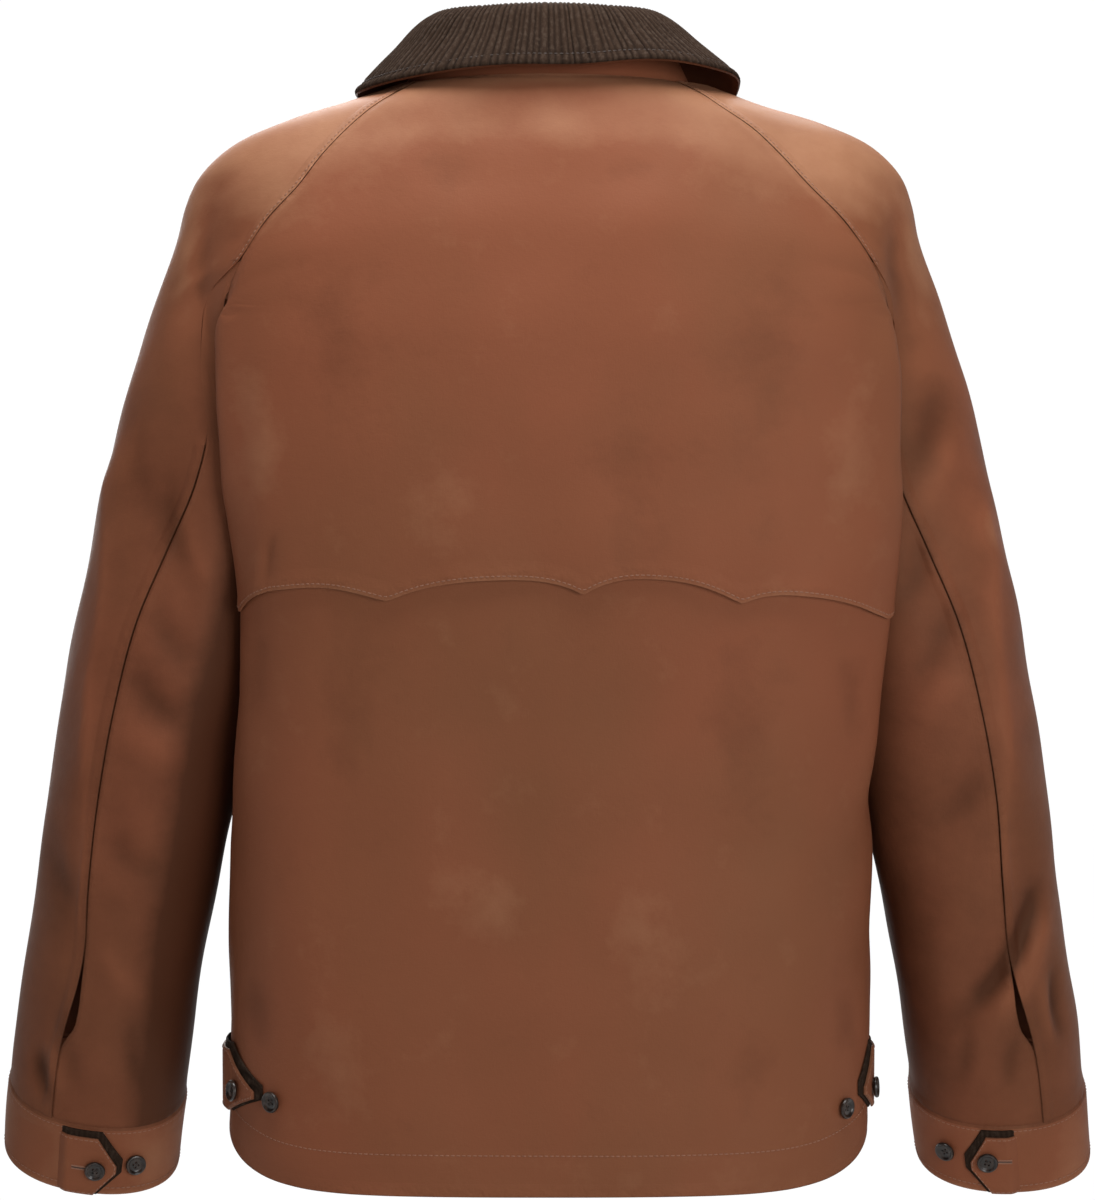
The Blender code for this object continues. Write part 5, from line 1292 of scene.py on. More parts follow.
CAPE_RIPPLE, RIPPLE_LONG = 0.0008, 0.03  # its free edge waves a little, and this far up
CAPE_WORN, CAPE_WORN_WIDE = 0.8, 0.0010
CAPE_SEAM_SHARE, CAPE_SEAM_FROM = 0.6, 0.0012  # its edge counts as a faint seam
CAPE_SEWN_END = UNDER_SLEEVE_TOP - 0.022
RIPPLE_TURNS, RIPPLE_START = 41.0, 1.3
NOT_SEWN = 0.05  # its free sides count as this far from a seam
CAPE_COLUMNS, CAPE_ROWS, CAPE_LOW = 150, (8, 104), 0.06  # rows in its lowest share, and above it


def cape_edge_height(column):
    """Height of the free edge at a column of the back, counted from its middle."""
    points, heights = SCALLOPS.key, SCALLOPS.columns["point"]
    i = np.clip(np.searchsorted(points, column) - 1, 0, len(points) - 2)
    within = np.clip((column - points[i]) / (points[i + 1] - points[i]), 0.0, 1.0)
    bowed = 1.0 - np.abs(2.0 * within ** SCALLOPS.columns["skew"][i] - 1.0) ** FULLNESS
    height = heights[i] * (1 - within) + heights[i + 1] * within + SCALLOPS.columns["rise"][i] * bowed
    beyond = np.maximum(np.abs(column) - np.where(column > 0, points[-1], -points[0]), 0.0)
    return height + SIDE_RISE * np.minimum(beyond / SIDE_RISE_OVER, 1.0)


def sample(grid, rows, columns):
    """Points of a grid between its rows and columns."""
    i = np.clip(rows.astype(int), 0, grid.shape[0] - 2)
    j = np.clip(columns.astype(int), 0, grid.shape[1] - 2)
    t, u = (rows - i)[..., None], (columns - j)[..., None]
    low = grid[i, j] * (1 - u) + grid[i, j + 1] * u
    high = grid[i + 1, j] * (1 - u) + grid[i + 1, j + 1] * u
    return low * (1 - t) + high * t


def fine_number(places, coarse):
    """The fine grid's row or column number at a place of the coarse one."""
    return np.interp(coarse, places, np.arange(len(places)))


# %% Lay the cape's points on the back
back, back_facing = fine["back"], fine_normals["back"]
row_places, column_places = fine_places["back"]
body_ends = BODY_HEIGHTS + ARMHOLE_HEIGHTS
wide_row, side_row = (fine_number(row_places, body_ends.index(height)) for height in (CAPE_WIDE, CAPE_SIDE))
across = np.linspace(0.0, 1.0, CAPE_COLUMNS)
up = np.concatenate((np.linspace(0.0, CAPE_LOW, CAPE_ROWS[0])[:-1], np.linspace(CAPE_LOW, 1.0, CAPE_ROWS[1])))
edge_columns = FOLD_COLUMNS + float(2 * (HALF_COLUMNS - FOLD_COLUMNS)) * across
edge_heights = cape_edge_height(edge_columns - HALF_COLUMNS)
edge_rows = []
for column, height in zip(fine_number(column_places, edge_columns), edge_heights):
    j = min(int(column), back.shape[1] - 2)
    heights = back[:, j, 2] * (1 - column + j) + back[:, j + 1, 2] * (column - j)
    edge_rows.append(np.interp(height, heights[:int(side_row)], np.arange(int(side_row))))
rows = np.array(edge_rows)[None] * (1 - up[:, None]) + (len(back) - 1.0) * up[:, None]
left_column = FOLD_COLUMNS * (1.0 - smooth_step(side_row, wide_row, rows))
columns = fine_number(column_places, left_column + (2 * HALF_COLUMNS - 2 * left_column) * across[None])
cape, cape_facing = sample(back, rows, columns), unit(sample(back_facing, rows, columns))
print("cape:", cape.shape[:2], "points, lowest %.4f" % cape[..., 2].min())

# %% Make the cape
beside, from_edge = np.abs(2 * across - 1)[None], border_distance(cape, "low")
stand = CAPE_STAND * smooth_step(*CAPE_STANDS, -cape[..., 2]) * (1.0 - smooth_step(*CAPE_SIDES, beside))
waves = np.sin(across * RIPPLE_TURNS + RIPPLE_START)[None]
ripple = CAPE_RIPPLE * waves * fading(from_edge, RIPPLE_LONG) * (1.0 - beside ** 6)
groove = CAPE_GROOVE * bell(from_edge - CAPE_HEM, CAPE_GROOVE_WIDE)
turned = CAPE_PROUD * (1.0 - smooth_step(*CAPE_TURNED, from_edge)) - groove
inner = cape + cape_facing * (CAPE_GAP + stand + ripple)[..., None]
outer = inner + cape_facing * (CLOTH + turned - CAPE_ROUND * fading(from_edge, CAPE_ROUND_WIDE))[..., None]
sewn_sides = border_distance(cape, "first", "last") + NOT_SEWN * (cape[..., 2] < CAPE_SEWN_END)
# its creases get the same painted highlight and painted shade, and its upward-facing cloth the painted sheen;
# its free edge is rubbed pale
lifted = crease_rise(cape, cape_facing) / FULL_LIFT + CAPE_WORN * fading(from_edge, CAPE_WORN_WIDE)
seam = np.minimum(border_distance(cape, "top"), sewn_sides)
seam = np.minimum(from_edge * CAPE_SEAM_SHARE + CAPE_SEAM_FROM, seam)
marks = {"lifted": lifted + painted_sheen_and_shade("cape", cape, cape_facing), "seam": seam}
sheet_shell("back_cape", outer, inner, COTTON, ["back"], marks)
sew("cape_stitches", [inset_line(outer, cape_facing, "low", CAPE_HEM)])

# %% [markdown]
# ## The collar
#
# The collar stands up round the neck, folds over and falls outward. Its outer layer is corduroy, and its
# wales are real ribs here: a rounded crest and a narrow valley, 132 of them round the neck. They
# flatten where the topstitching presses them.

# %% The collar's sections
COLLAR_COLUMNS = 120
COLLAR_FOLD_RADIUS = 0.0045
COLLAR_END = 176.0
COLLAR_RISE, COLLAR_IN = -0.0030, 0.0034  # the stand starts just inside the neck edge
FOLD_TURNS = [math.radians(degrees) for degrees in (150.0, 90.0, 30.0)]
FALL_SHARES = (0.45, 1.0)
CORDUROY_GAP = GAP / 2
# turn: degrees from the middle of the back. fold and fold_out: the fold's height and how far it lies
# from the neck's axis. edge_turn, edge_out and edge: where the fall's edge points, how far out and how
# high.
COLLAR = Table("turn fold fold_out edge_turn edge_out edge", (
    0, 44, 70, 0, 101, 5,
    30, 44, 71.5, 30, 108, 4.5,
    60, 45, 77, 62, 122, 2,
    90, 43, 81.5, 88, 133, 1,
    120, 32, 80, 112, 133, -8,
    150, -2, 80, 134, 133, -60,
    176, -48, 83, 152, 131, -130,
), plain="turn edge_turn")
RIGHT_EDGE_LIFT, LEFT_EDGE_LIFT = 0.007, -0.003  # the fall stands off the right shoulder and lies on the left
LIFT_BEHIND, LIFT_BEFORE = (5.0, 50.0), (75.0, 115.0)  # the turns that it starts and ends over


def neck_edge():
    """The neck seam as one line, with each point's direction in degrees from the middle of the back."""
    names = ["back"] + [kind + label for _, label in SIDES for kind in ("top_sleeve_", "front_")]
    points = np.concatenate([grids[name][-1] for name in names])
    turns = np.degrees(np.arctan2(points[:, 0], points[:, 1]))
    order = np.argsort(turns)
    return turns[order], points[order]


def collar_section(neck, turn):
    """Points across the collar at this turn, from the neck seam up the stand, over the fold and down."""
    side, angle, up = math.copysign(1.0, turn), abs(turn), np.array(UP)
    size = {name: float(COLLAR.read(name, angle)) for name in COLLAR.columns}
    out, edge_out = (np.array((side * math.sin(math.radians(degrees)), math.cos(math.radians(degrees)), 0.0))
                     for degrees in (angle, size["edge_turn"]))
    base = at(turn, *neck) + up * COLLAR_RISE - out * COLLAR_IN
    fold = out * size["fold_out"] + up * size["fold"]
    lifted = LEFT_EDGE_LIFT if side > 0 else RIGHT_EDGE_LIFT
    lifted = lifted * smooth_step(*LIFT_BEHIND, angle) * (1.0 - smooth_step(*LIFT_BEFORE, angle))
    edge = edge_out * size["edge_out"] + up * (size["edge"] + lifted)
    bend = [fold + COLLAR_FOLD_RADIUS * (out * math.cos(a) + up * math.sin(a)) for a in FOLD_TURNS]
    fall = [bend[-1] + (edge - bend[-1]) * share for share in FALL_SHARES]
    return [base, (base + bend[0]) / 2] + bend + fall


# %% Make the collar
COLLAR_WALES, PER_WALE = 132, 6  # ribs, and points across each
WALE_HIGH, WALE_BASE = 0.0011, 0.0005
WALE_SHIFTS = ((0.18, 0.9, 0.0), (0.12, 2.3, 1.0))  # waves that shift them, so that no two are alike
COLLAR_STITCH = 0.0080
PRESSED_WIDE, PRESSED_DEEP = 0.0011, 0.0004
COLLAR_ROUND = 0.0022  # its edge is rounded over this width
COLLAR_SAG, SAG_FROM = 0.0010, 0.03
CREST_ROUND, PRESSED_FLAT, PRESSED_PALE, EDGE_THIN = 0.75, 0.6, 0.5, 0.15
STITCH_SUNK = 0.0002  # how far its stitches lie in the pile
SAG_TURNS = 23.0
COLLAR_ROWS, ROWS_END = 34, 0.004
EDGE_ROWS = np.array((0.0028, 0.0016, 0.0007, 0.0))  # distances of the last rows from the edge
neck = neck_edge()
turns = np.linspace(-COLLAR_END, COLLAR_END, COLLAR_COLUMNS + 1)
cage = np.array([collar_section(neck, turn) for turn in turns]).transpose(1, 0, 2)
steps = np.median(np.linalg.norm(np.diff(cage, axis=0), axis=2), axis=1)
lengths = np.concatenate(((0.0,), np.cumsum(steps)))
wanted = np.concatenate((np.linspace(0.0, lengths[-1] - ROWS_END, COLLAR_ROWS), lengths[-1] - EDGE_ROWS))
wale_places = np.linspace(0.0, cage.shape[1] - 1.0, COLLAR_WALES * PER_WALE + 1)
collar = read_grid(cage, np.interp(wanted, lengths, np.arange(len(cage))), wale_places)
collar_facing = row_normals(collar, BACK)
if np.dot(collar_facing[-3, collar.shape[1] // 2], BACK) < 0:
    collar_facing = -collar_facing
from_edge = border_distance(collar, "top")
seam = border_distance(collar, "top", "first", "last")
number = np.arange(collar.shape[1]) / PER_WALE
number = number + sum(shift * np.sin(number * turn + start) for shift, turn, start in WALE_SHIFTS)
crest = np.abs(np.sin(math.pi * number))[None] ** CREST_ROUND * np.ones(collar.shape[:2])
pressed = bell(from_edge - COLLAR_STITCH, PRESSED_WIDE)
rib = WALE_HIGH * crest * (1.0 - PRESSED_FLAT * pressed) - PRESSED_DEEP * pressed
rounded = np.sqrt(np.clip(seam / COLLAR_ROUND, 0.0, 1.0))
waves = np.sin(np.linspace(0.0, SAG_TURNS, collar.shape[1]))[None]
sag = COLLAR_SAG * waves * smooth_step(SAG_FROM, 0.0, from_edge)
middle = collar + collar_facing * sag[..., None]
face = CORDUROY_GAP + (CORDUROY - WALE_BASE + rib) * (EDGE_THIN + (1 - EDGE_THIN) * rounded)
outer, inner = middle + collar_facing * face[..., None], middle + collar_facing * CORDUROY_GAP
marks = {"crest": crest * (1 - PRESSED_PALE * pressed)}
sheet_shell("collar_top", outer, inner, CORDUROY_CLOTH, ["back"], marks)

# %% Put the cotton layer under it, and topstitch both
every = slice(None, None, PER_WALE)
under, under_facing = middle[:, every], -collar_facing[:, every]
outer, inner = under + under_facing * (CORDUROY_GAP + CLOTH), under + under_facing * CORDUROY_GAP
marks = {"lifted": np.zeros(under.shape[:2]), "seam": seam[:, every]}
sheet_shell("collar_under", outer, inner, COTTON, ["collar_top"], marks)
line, ups = (each[every] for each in inset_line(middle, collar_facing, "top", COLLAR_STITCH))
sew("collar_stitches", [(line + ups * (CORDUROY_GAP + CORDUROY - STITCH_SUNK), ups)], DARK_THREAD)

# %% [markdown]
# ## Straps
#
# Each cuff and each side of the hem has a pointed strap with a corduroy facing that shows along its upper
# and slanted edges. A strap is worked out flat, as distances along and up, and a surface function lays
# it on the cuff or on the body, so it follows the round form as cloth does. At its start it comes up out
# of its seam.

# %% Lay a strap on a surface
STRAP_CLOTH = 0.0019
STRAP_GAP = 0.0004
FACING_SHOWS = 0.0045
STRAP_SHOULDER, STRAP_TIP = 0.68, 0.12  # where it starts to narrow, and its height at the tip, as shares
STRAP_FINE = (44, 16)
STRAP_END, STRAP_EDGE = (0.985, 0.995), np.array((0.0, 0.02, 0.05))  # closer points at its tip and its edges
STRAP_EVEN = (0.1, 0.9)
STRAP_STITCH, STRAP_GROOVE, STRAP_GROOVE_WIDE = 0.0019, 0.0003, 0.0008
STRAP_ROUND, STRAP_ROUND_DEEP = 0.0011, 0.55  # how wide its edges are rounded, and the share of its cloth
STRAP_WORN, STRAP_WORN_WIDE = 0.7, 0.0012
STRAP_GROWS = 0.011  # it comes out of its seam over this length
WALE, FACING_CREST = 0.0037, (0.25, 0.5)  # how pale its valleys are, and how much paler its crests


def strap_shares(tip_low, grow_along=0.0, grow_up=0.0):
    """Shares along and up a strap at its fine points, which a facing widens."""
    along = np.unique(np.concatenate((np.linspace(0.0, 1.0, STRAP_FINE[0]), (STRAP_SHOULDER, *STRAP_END))))
    taper = np.clip((along - STRAP_SHOULDER) / (1 - STRAP_SHOULDER), 0.0, 1.0)
    low, high = taper * tip_low, 1.0 - taper * (1.0 - tip_low - STRAP_TIP) + grow_up
    shares = np.concatenate((STRAP_EDGE, np.linspace(*STRAP_EVEN, STRAP_FINE[1]), 1.0 - STRAP_EDGE[::-1]))
    heights = low[None] + (high - low)[None] * shares[:, None]
    return np.broadcast_to(along * (1.0 + grow_along), heights.shape), heights


def lay_layer(name, points, out, lift, thick, material, rests_on):
    """One rounded layer of a strap, and how its outer points lie."""
    nearest, from_start = border_distance(points, "last", "low", "top"), border_distance(points, "first")
    rounded = thick * STRAP_ROUND_DEEP * (1.0 - np.sqrt(np.clip(nearest / STRAP_ROUND, 0.0, 1.0)))
    groove = STRAP_GROOVE * bell(nearest - STRAP_STITCH, STRAP_GROOVE_WIDE)
    sunk = (lift + thick + STRAP_GAP) * (1.0 - smooth_step(0.0, STRAP_GROWS, from_start))
    outer = points + out * (lift + thick - rounded - groove - sunk)[..., None]
    ribs = 0.5 + 0.5 * np.sin(from_start * 2 * math.pi / WALE)
    worn = STRAP_WORN * fading(nearest, STRAP_WORN_WIDE)
    marks = {"lifted": worn, "seam": nearest, "crest": FACING_CREST[0] + FACING_CREST[1] * ribs}
    sheet_shell(name, outer, points + out * (lift - sunk)[..., None], material, rests_on, marks)
    return outer


def make_strap(label, surface, length, height, tip_low, lift, rests_on):
    """The facing, the strap and its stitching; returns how high the strap's face stands."""
    facing_name, strap_name = label.format("_facing"), label.format("")
    points, out = surface(*strap_shares(tip_low, FACING_SHOWS / length, FACING_SHOWS / height))
    lay_layer(facing_name, points, out, lift + STRAP_GAP, CORDUROY, CORDUROY_CLOTH, rests_on)
    points, out = surface(*strap_shares(tip_low))
    lift = lift + 2 * STRAP_GAP + CORDUROY
    outer = lay_layer(strap_name, points, out, lift, STRAP_CLOTH, COTTON, [facing_name])
    lines = [inset_line(outer, out, edge, STRAP_STITCH) for edge in ("low", "top", "last")]
    sew(label.format("_stitches"), [(line[2:-2], ups[2:-2]) for line, ups in lines])
    return lift + STRAP_CLOTH


# %% [markdown]
# ## Buttons and buttonholes
#
# The buttons are turned horn: a raised rim, a shallow dish and four holes. The turned form is a profile
# swept round, and the holes are cut with a Boolean, once; every button is a copy of that one, laid square
# to its cloth and sewn with crossed thread.

# %% Turn one button
BUTTON_RADIUS, BUTTON_THICK, BUTTON_STAND = 0.0072, 0.0030, 0.0008
HOLE_OUT, HOLE_RADIUS = 0.0018, 0.00075
HOLE_TURNS = [math.radians(45 + 90 * k) for k in range(4)]
SPIN_STEPS, DRILL_SIDES, DRILL_LONG = 40, 14, 0.01
PROFILE = ((0.0, 0.50), (0.45, 0.50), (0.62, 0.54), (0.70, 0.70), (0.78, 0.93), (0.86, 1.0), (0.94, 0.93),
           (0.99, 0.68), (1.0, 0.50), (0.96, 0.28), (0.85, 0.10), (0.60, 0.0), (0.0, 0.0))


def put_mesh(name, work):
    mesh = bpy.data.meshes.new(name)
    work.to_mesh(mesh)
    work.free()
    return put(name, mesh)


def turned_button():
    work = bmesh.new()
    line = [work.verts.new((r * BUTTON_RADIUS, 0.0, h * BUTTON_THICK)) for r, h in PROFILE]
    edges = [work.edges.new(pair) for pair in zip(line, line[1:])]
    bmesh.ops.spin(work, geom=line + edges, axis=UP, cent=(0, 0, 0), angle=2 * math.pi, steps=SPIN_STEPS)
    bmesh.ops.remove_doubles(work, verts=work.verts, dist=1e-6)
    bmesh.ops.recalc_face_normals(work, faces=work.faces)
    drills = bmesh.new()
    for turn in HOLE_TURNS:
        place = Matrix.Translation((HOLE_OUT * math.cos(turn), HOLE_OUT * math.sin(turn), 0.0))
        bmesh.ops.create_cone(drills, cap_ends=True, segments=DRILL_SIDES, radius1=HOLE_RADIUS,
                              radius2=HOLE_RADIUS, depth=DRILL_LONG, matrix=place)
    blank, drill = put_mesh("turned_button", work), put_mesh("drills", drills)
    cut = blank.modifiers.new("holes", "BOOLEAN")
    cut.operation, cut.object, cut.solver = "DIFFERENCE", drill, "EXACT"
    bpy.context.view_layer.update()
    done = bpy.data.meshes.new_from_object(blank.evaluated_get(bpy.context.evaluated_depsgraph_get()))
    for item in (blank, drill):
        bpy.data.objects.remove(item, do_unlink=True)
    return done


BUTTON_MESH = turned_button()
print("button:", len(BUTTON_MESH.polygons), "faces")

# %% Sew a button on, and cut its buttonhole
TILTS = (4.0, -6.0, 3.0, 7.0, -4.0, 5.0, -3.0)
EACH_TURNED = 37.0  # degrees from one button to the next
THREAD_APART, THREAD_HIGH, FINE_THREAD = 0.00022, 0.0001, 0.00024
SHANK_RADIUS, SHANK_SIDES, SHANK_IN, SHANK_TOP = 0.0011, 10, 0.0002, 0.8  # its top is that share as wide
HOLE_STITCHES, HOLE_STITCH_IN, HOLE_STITCH_OUT, HOLE_THREAD = 15, 0.0003, 0.0016, 0.00038
SLIT_HALF, SLIT_HIGH, SLIT_LOW = 0.00028, 0.00022, 0.00002
made_buttons = []


def sew_button(name, point, normal, lift):
    """A button on its thread, a little tilted, each its own way."""
    tilt = math.radians(TILTS[len(made_buttons) % len(TILTS)])
    turn = math.radians(EACH_TURNED * len(made_buttons))
    made_buttons.append(name)
    axis = Vector(normal).normalized()
    square = axis.to_track_quat("Z", "Y").to_matrix().to_4x4()
    place = Matrix.Translation(Vector(point) + axis * (lift + BUTTON_STAND)) @ square
    place = place @ Matrix.Rotation(tilt, 4, "X") @ Matrix.Rotation(turn, 4, "Z")
    points = np.array([place @ v.co for v in BUTTON_MESH.vertices])
    finish_mesh(name, points, [tuple(f.vertices) for f in BUTTON_MESH.polygons], HORN, node=name, smooth=35.0)
    dish = BUTTON_THICK * 0.50 + THREAD_HIGH
    holes = [(HOLE_OUT * math.cos(turn), HOLE_OUT * math.sin(turn), dish) for turn in HOLE_TURNS]
    holes = np.array([place @ Vector(hole) for hole in holes])
    aside = np.array(place.to_3x3() @ Vector((THREAD_APART, THREAD_APART, 0.0)))
    starts, ends = (np.concatenate((pair, pair + aside)) for pair in (holes[:2], holes[2:]))
    ups = np.repeat(np.array(place.to_3x3() @ Vector(UP))[None], 4, axis=0)
    stitch_bars(name + "_thread", starts, ends, ups, DARK_THREAD, FINE_THREAD)
    foot, top = Vector(point) + axis * lift, place @ Vector((0.0, 0.0, SHANK_IN))
    lean = (top - foot).normalized().to_track_quat("Z", "Y")
    ring = [lean @ Vector((SHANK_RADIUS * math.cos(a), SHANK_RADIUS * math.sin(a), 0.0))
            for a in np.linspace(0.0, 2 * math.pi, SHANK_SIDES, endpoint=False)]
    shank = np.array([[foot + r for r in ring], [top + r * SHANK_TOP for r in ring]])
    ends = [tuple(range(SHANK_SIDES))[::-1], tuple(range(SHANK_SIDES, 2 * SHANK_SIDES))]
    faces = [tuple(face) for face in grid_faces(2, SHANK_SIDES, True)] + ends
    finish_mesh(name + "_shank", shank.reshape(-1, 3), faces, DARK_THREAD)


def cut_buttonhole(name, line, ups):
    """A worked buttonhole along a short line: close stitches across it on both sides, and a dark sheet over
    the slit as painted shade.
    """
    shares = np.linspace(0.0, 1.0, HOLE_STITCHES)
    along = run_along(line)
    places, up = (at(shares, along / along[-1], values) for values in (line, ups))
    aside = unit(np.cross(directions(places[None], 1)[0], up))
    starts, ends = (np.concatenate((places + aside * out, places - aside * out))
                    for out in (HOLE_STITCH_IN, HOLE_STITCH_OUT))
    stitch_bars(name, starts, ends, np.concatenate((up, up)), THREAD, HOLE_THREAD)
    # a dark sheet in the cut: painted shade where the slit opens
    shade_slit, up = np.stack([places + aside * wide for wide in (-SLIT_HALF, SLIT_HALF)]), np.stack((up, up))
    shell(name + "_slit", shade_slit + up * SLIT_HIGH, shade_slit + up * SLIT_LOW, DARK_THREAD)


def fasten(kind, label, tab, surface, top, low, hole):
    """A strap's button, the spare one beside it, and the buttonhole along a line on the strap."""
    for which, lift in (("button", top), ("spare", low)):
        name = "%s_button_%s%s" % (kind, label, {"button": "", "spare": "_spare"}[which])
        sew_button(name, *surface(*tab[which]), lift)
    line, ups = surface(hole, tab["button"][1])
    cut_buttonhole("%s_buttonhole_%s" % (kind, label), line + ups * top, ups)


# %% [markdown]
# ## Cuffs
#
# A cuff is a straight band sewn round the sleeve's end, with its own seam at the top and a row of
# stitching near its lower edge. It is a closed ring of points on the sleeve's surface, just outside the
# sleeve.

# %% Make the cuffs
# side: which cuff. start, tip: degrees round the sleeve. button, spare: degrees and height of each
# button.
CUFF_TABS = {
    1: {"start": 60.0, "tip": 116.0, "button": (98.4, -0.7170), "spare": (131.0, -0.7150)},
    -1: {"start": 76.0, "tip": 122.0, "button": (108.0, -0.7120), "spare": (141.0, -0.7120)},
}
CUFF_TAB_TOP, CUFF_TAB_LOW = -0.6945, -0.7365
CUFF_TAB_TIP_LOW = 0.40  # the tip's lower corner as a share of the strap's height
CUFF_TAB_RADIUS = 0.055  # the cuff's mean radius, for the strap's length
CUFF_LIFT, CUFF_FINE = 0.0006, (150, 26)
CUFF_LOW, CUFF_EVEN, CUFF_TOP = (0.0, 0.015, 0.04), (0.08, 0.92), (0.96, 0.985, 1.0)  # closer at its edges
CUFF_STITCHES, CUFF_ROUND = (0.0052, 0.0020), (0.0007, 0.0006)  # at its lower edge, and at its top
CUFF_FULL, CUFF_GROOVE, CUFF_GROOVE_WIDE = 0.0003, 0.0003, 0.0009
CUFF_TUCK = 0.0040  # the lining reaches this far up inside the sleeve
CUFF_SOFT, CUFF_WAVES = 0.0005, 5  # how uneven the band is, and how many waves go round it
CUFF_WORN, CUFF_EDGE_WORN, CUFF_EDGE_WIDE = 0.35, 0.9, 0.0016  # rubbed a little, and more at its edge
CUFF_HOLE = np.linspace(7.0, 21.0, 9)  # degrees from the button to the buttonhole's places


def cuff_rise(from_top, from_low):
    """The band's roundness: full in the middle, pressed at its seam and its lower edge."""
    rise = CUFF_FULL
    for away, stitched, rounded in zip((from_low, from_top), CUFF_STITCHES, CUFF_ROUND):
        rise = rise - rounded * fading(away, CUFF_GROOVE_WIDE)
        rise = rise - CUFF_GROOVE * bell(away - stitched, CUFF_GROOVE_WIDE)
    return rise


def make_cuff(side, label):
    turns = np.linspace(0.0, 2 * math.pi, CUFF_FINE[0], endpoint=False)
    shares = np.concatenate((CUFF_LOW, np.linspace(*CUFF_EVEN, CUFF_FINE[1]), CUFF_TOP))
    turns, shares = np.meshgrid(turns, shares)
    heights = CUFF_END + (SLEEVE_END - GAP - CUFF_END) * shares
    points, out = sleeve_surface(side, heights, turns)
    from_low, from_top = heights - CUFF_END, SLEEVE_END - heights
    soft = CUFF_SOFT * np.sin(CUFF_WAVES * turns + side)
    soft = soft * np.sin(math.pi * from_low / (SLEEVE_END - CUFF_END))
    outer = points + out * (CUFF_LIFT + cuff_rise(from_top, from_low) + soft)[..., None]
    lining, lining_out = sleeve_surface(side, heights + CUFF_TUCK * shares ** 4, turns)
    inner = lining + lining_out * (CUFF_LIFT - CUFF_CLOTH)
    # the band's waves are painted as well: paler where it bulges, with painted shade where it dips
    lifted = CUFF_WORN + CUFF_EDGE_WORN * fading(from_low, CUFF_EDGE_WIDE) + soft / MM
    marks = {"lifted": lifted, "seam": np.minimum(from_low, from_top)}
    name, tab = "cuff_" + label, CUFF_TABS[side]
    sheet_shell(name, outer, inner, COTTON, ["top_sleeve_" + label], marks, ring=True)
    closed = [np.concatenate((each, each[:, :1]), axis=1) for each in (outer, out)]
    lines = [inset_line(*closed, edge, distance) for edge, distance in
             (("top", CUFF_STITCHES[1]), ("low", CUFF_STITCHES[0]))]
    sew("cuff_stitches_" + label, lines)

    def on_cuff(degrees, height):
        return sleeve_surface(side, height, np.radians(degrees))

    def on_strap(along, up):
        height = CUFF_TAB_LOW + (CUFF_TAB_TOP - CUFF_TAB_LOW) * up
        return on_cuff(tab["start"] + (tab["tip"] - tab["start"]) * along, height)

    length = math.radians(tab["tip"] - tab["start"]) * CUFF_TAB_RADIUS
    top = make_strap("cuff_tab{}_" + label, on_strap, length, CUFF_TAB_TOP - CUFF_TAB_LOW, CUFF_TAB_TIP_LOW,
                     CUFF_LIFT + GAP, [name])
    fasten("cuff", label, tab, on_cuff, top, CUFF_LIFT, tab["button"][0] - CUFF_HOLE)


for side, label in SIDES:
    make_cuff(side, label)

# %% [markdown]
# ## Hem straps
#
# The hem straps pull the sides in. They start at the side seam and point to the back, where a spare
# button waits for a closer fit.

# %% Make the hem straps
# side: which strap. tip: how far behind the side seam it ends. button, spare: depth and height of
# each.
HEM_TABS = {
    1: {"tip": 0.083, "button": (0.066, -0.679), "spare": (0.0930, -0.683)},
    -1: {"tip": 0.060, "button": (0.042, -0.680), "spare": (0.0790, -0.689)},
}
HEM_TAB_START = -0.012
HEM_TAB_TOP, HEM_TAB_LOW = -0.653, -0.694
HEM_TAB_TIP_LOW = 0.28
HEM_TAB_LIFT, HEM_SPARE_LIFT = 0.0008, 0.0004
HEM_HOLE = np.linspace(0.006, 0.018, 9)
DIP_STEPS = 20


def find_on_body(side, height, deep):
    """The body's point at this true height and depth, by steps that take up the hem's dip."""
    level = height
    for _ in range(DIP_STEPS):
        depth = np.where(deep >= 0, BODY.read("back", level), BODY.read("front", level))
        square = BODY.read("square", level)
        turn = np.sign(deep) * np.arcsin(np.minimum(np.abs(deep) / depth, 1.0) ** (square / 2))
        point = body_point(side, level, turn)
        level = level + height - point[..., 2]
    return point


def body_surface(side, height, deep):
    """Points of the body and their unit normals, pointing out."""
    height, deep = np.broadcast_arrays(np.asarray(height, float), np.asarray(deep, float))
    small = 0.0005
    along = find_on_body(side, height, deep + small) - find_on_body(side, height, deep - small)
    upward = find_on_body(side, height + small, deep) - find_on_body(side, height - small, deep)
    return find_on_body(side, height, deep), unit(side * np.cross(along, upward))


def make_hem_tab(side, label):
    tab = HEM_TABS[side]
    length, height = tab["tip"] - HEM_TAB_START, HEM_TAB_TOP - HEM_TAB_LOW

    def on_body(deep, at_height):
        return body_surface(side, at_height, deep)

    def on_strap(along, up):
        return on_body(HEM_TAB_START + length * along, HEM_TAB_LOW + height * up)

    top = make_strap("hem_tab{}_" + label, on_strap, length, height, HEM_TAB_TIP_LOW, HEM_TAB_LIFT, ["back"])
    fasten("hem", label, tab, on_body, top, HEM_SPARE_LIFT, tab["button"][0] - HEM_HOLE)


for side, label in SIDES:
    make_hem_tab(side, label)

# %% [markdown]
# ## The placket
#
# The front closes with a buttoned edge of doubled cloth over both fronts. It is read from the two
# fronts' own rows, out to its half width on each side, and then lifted.

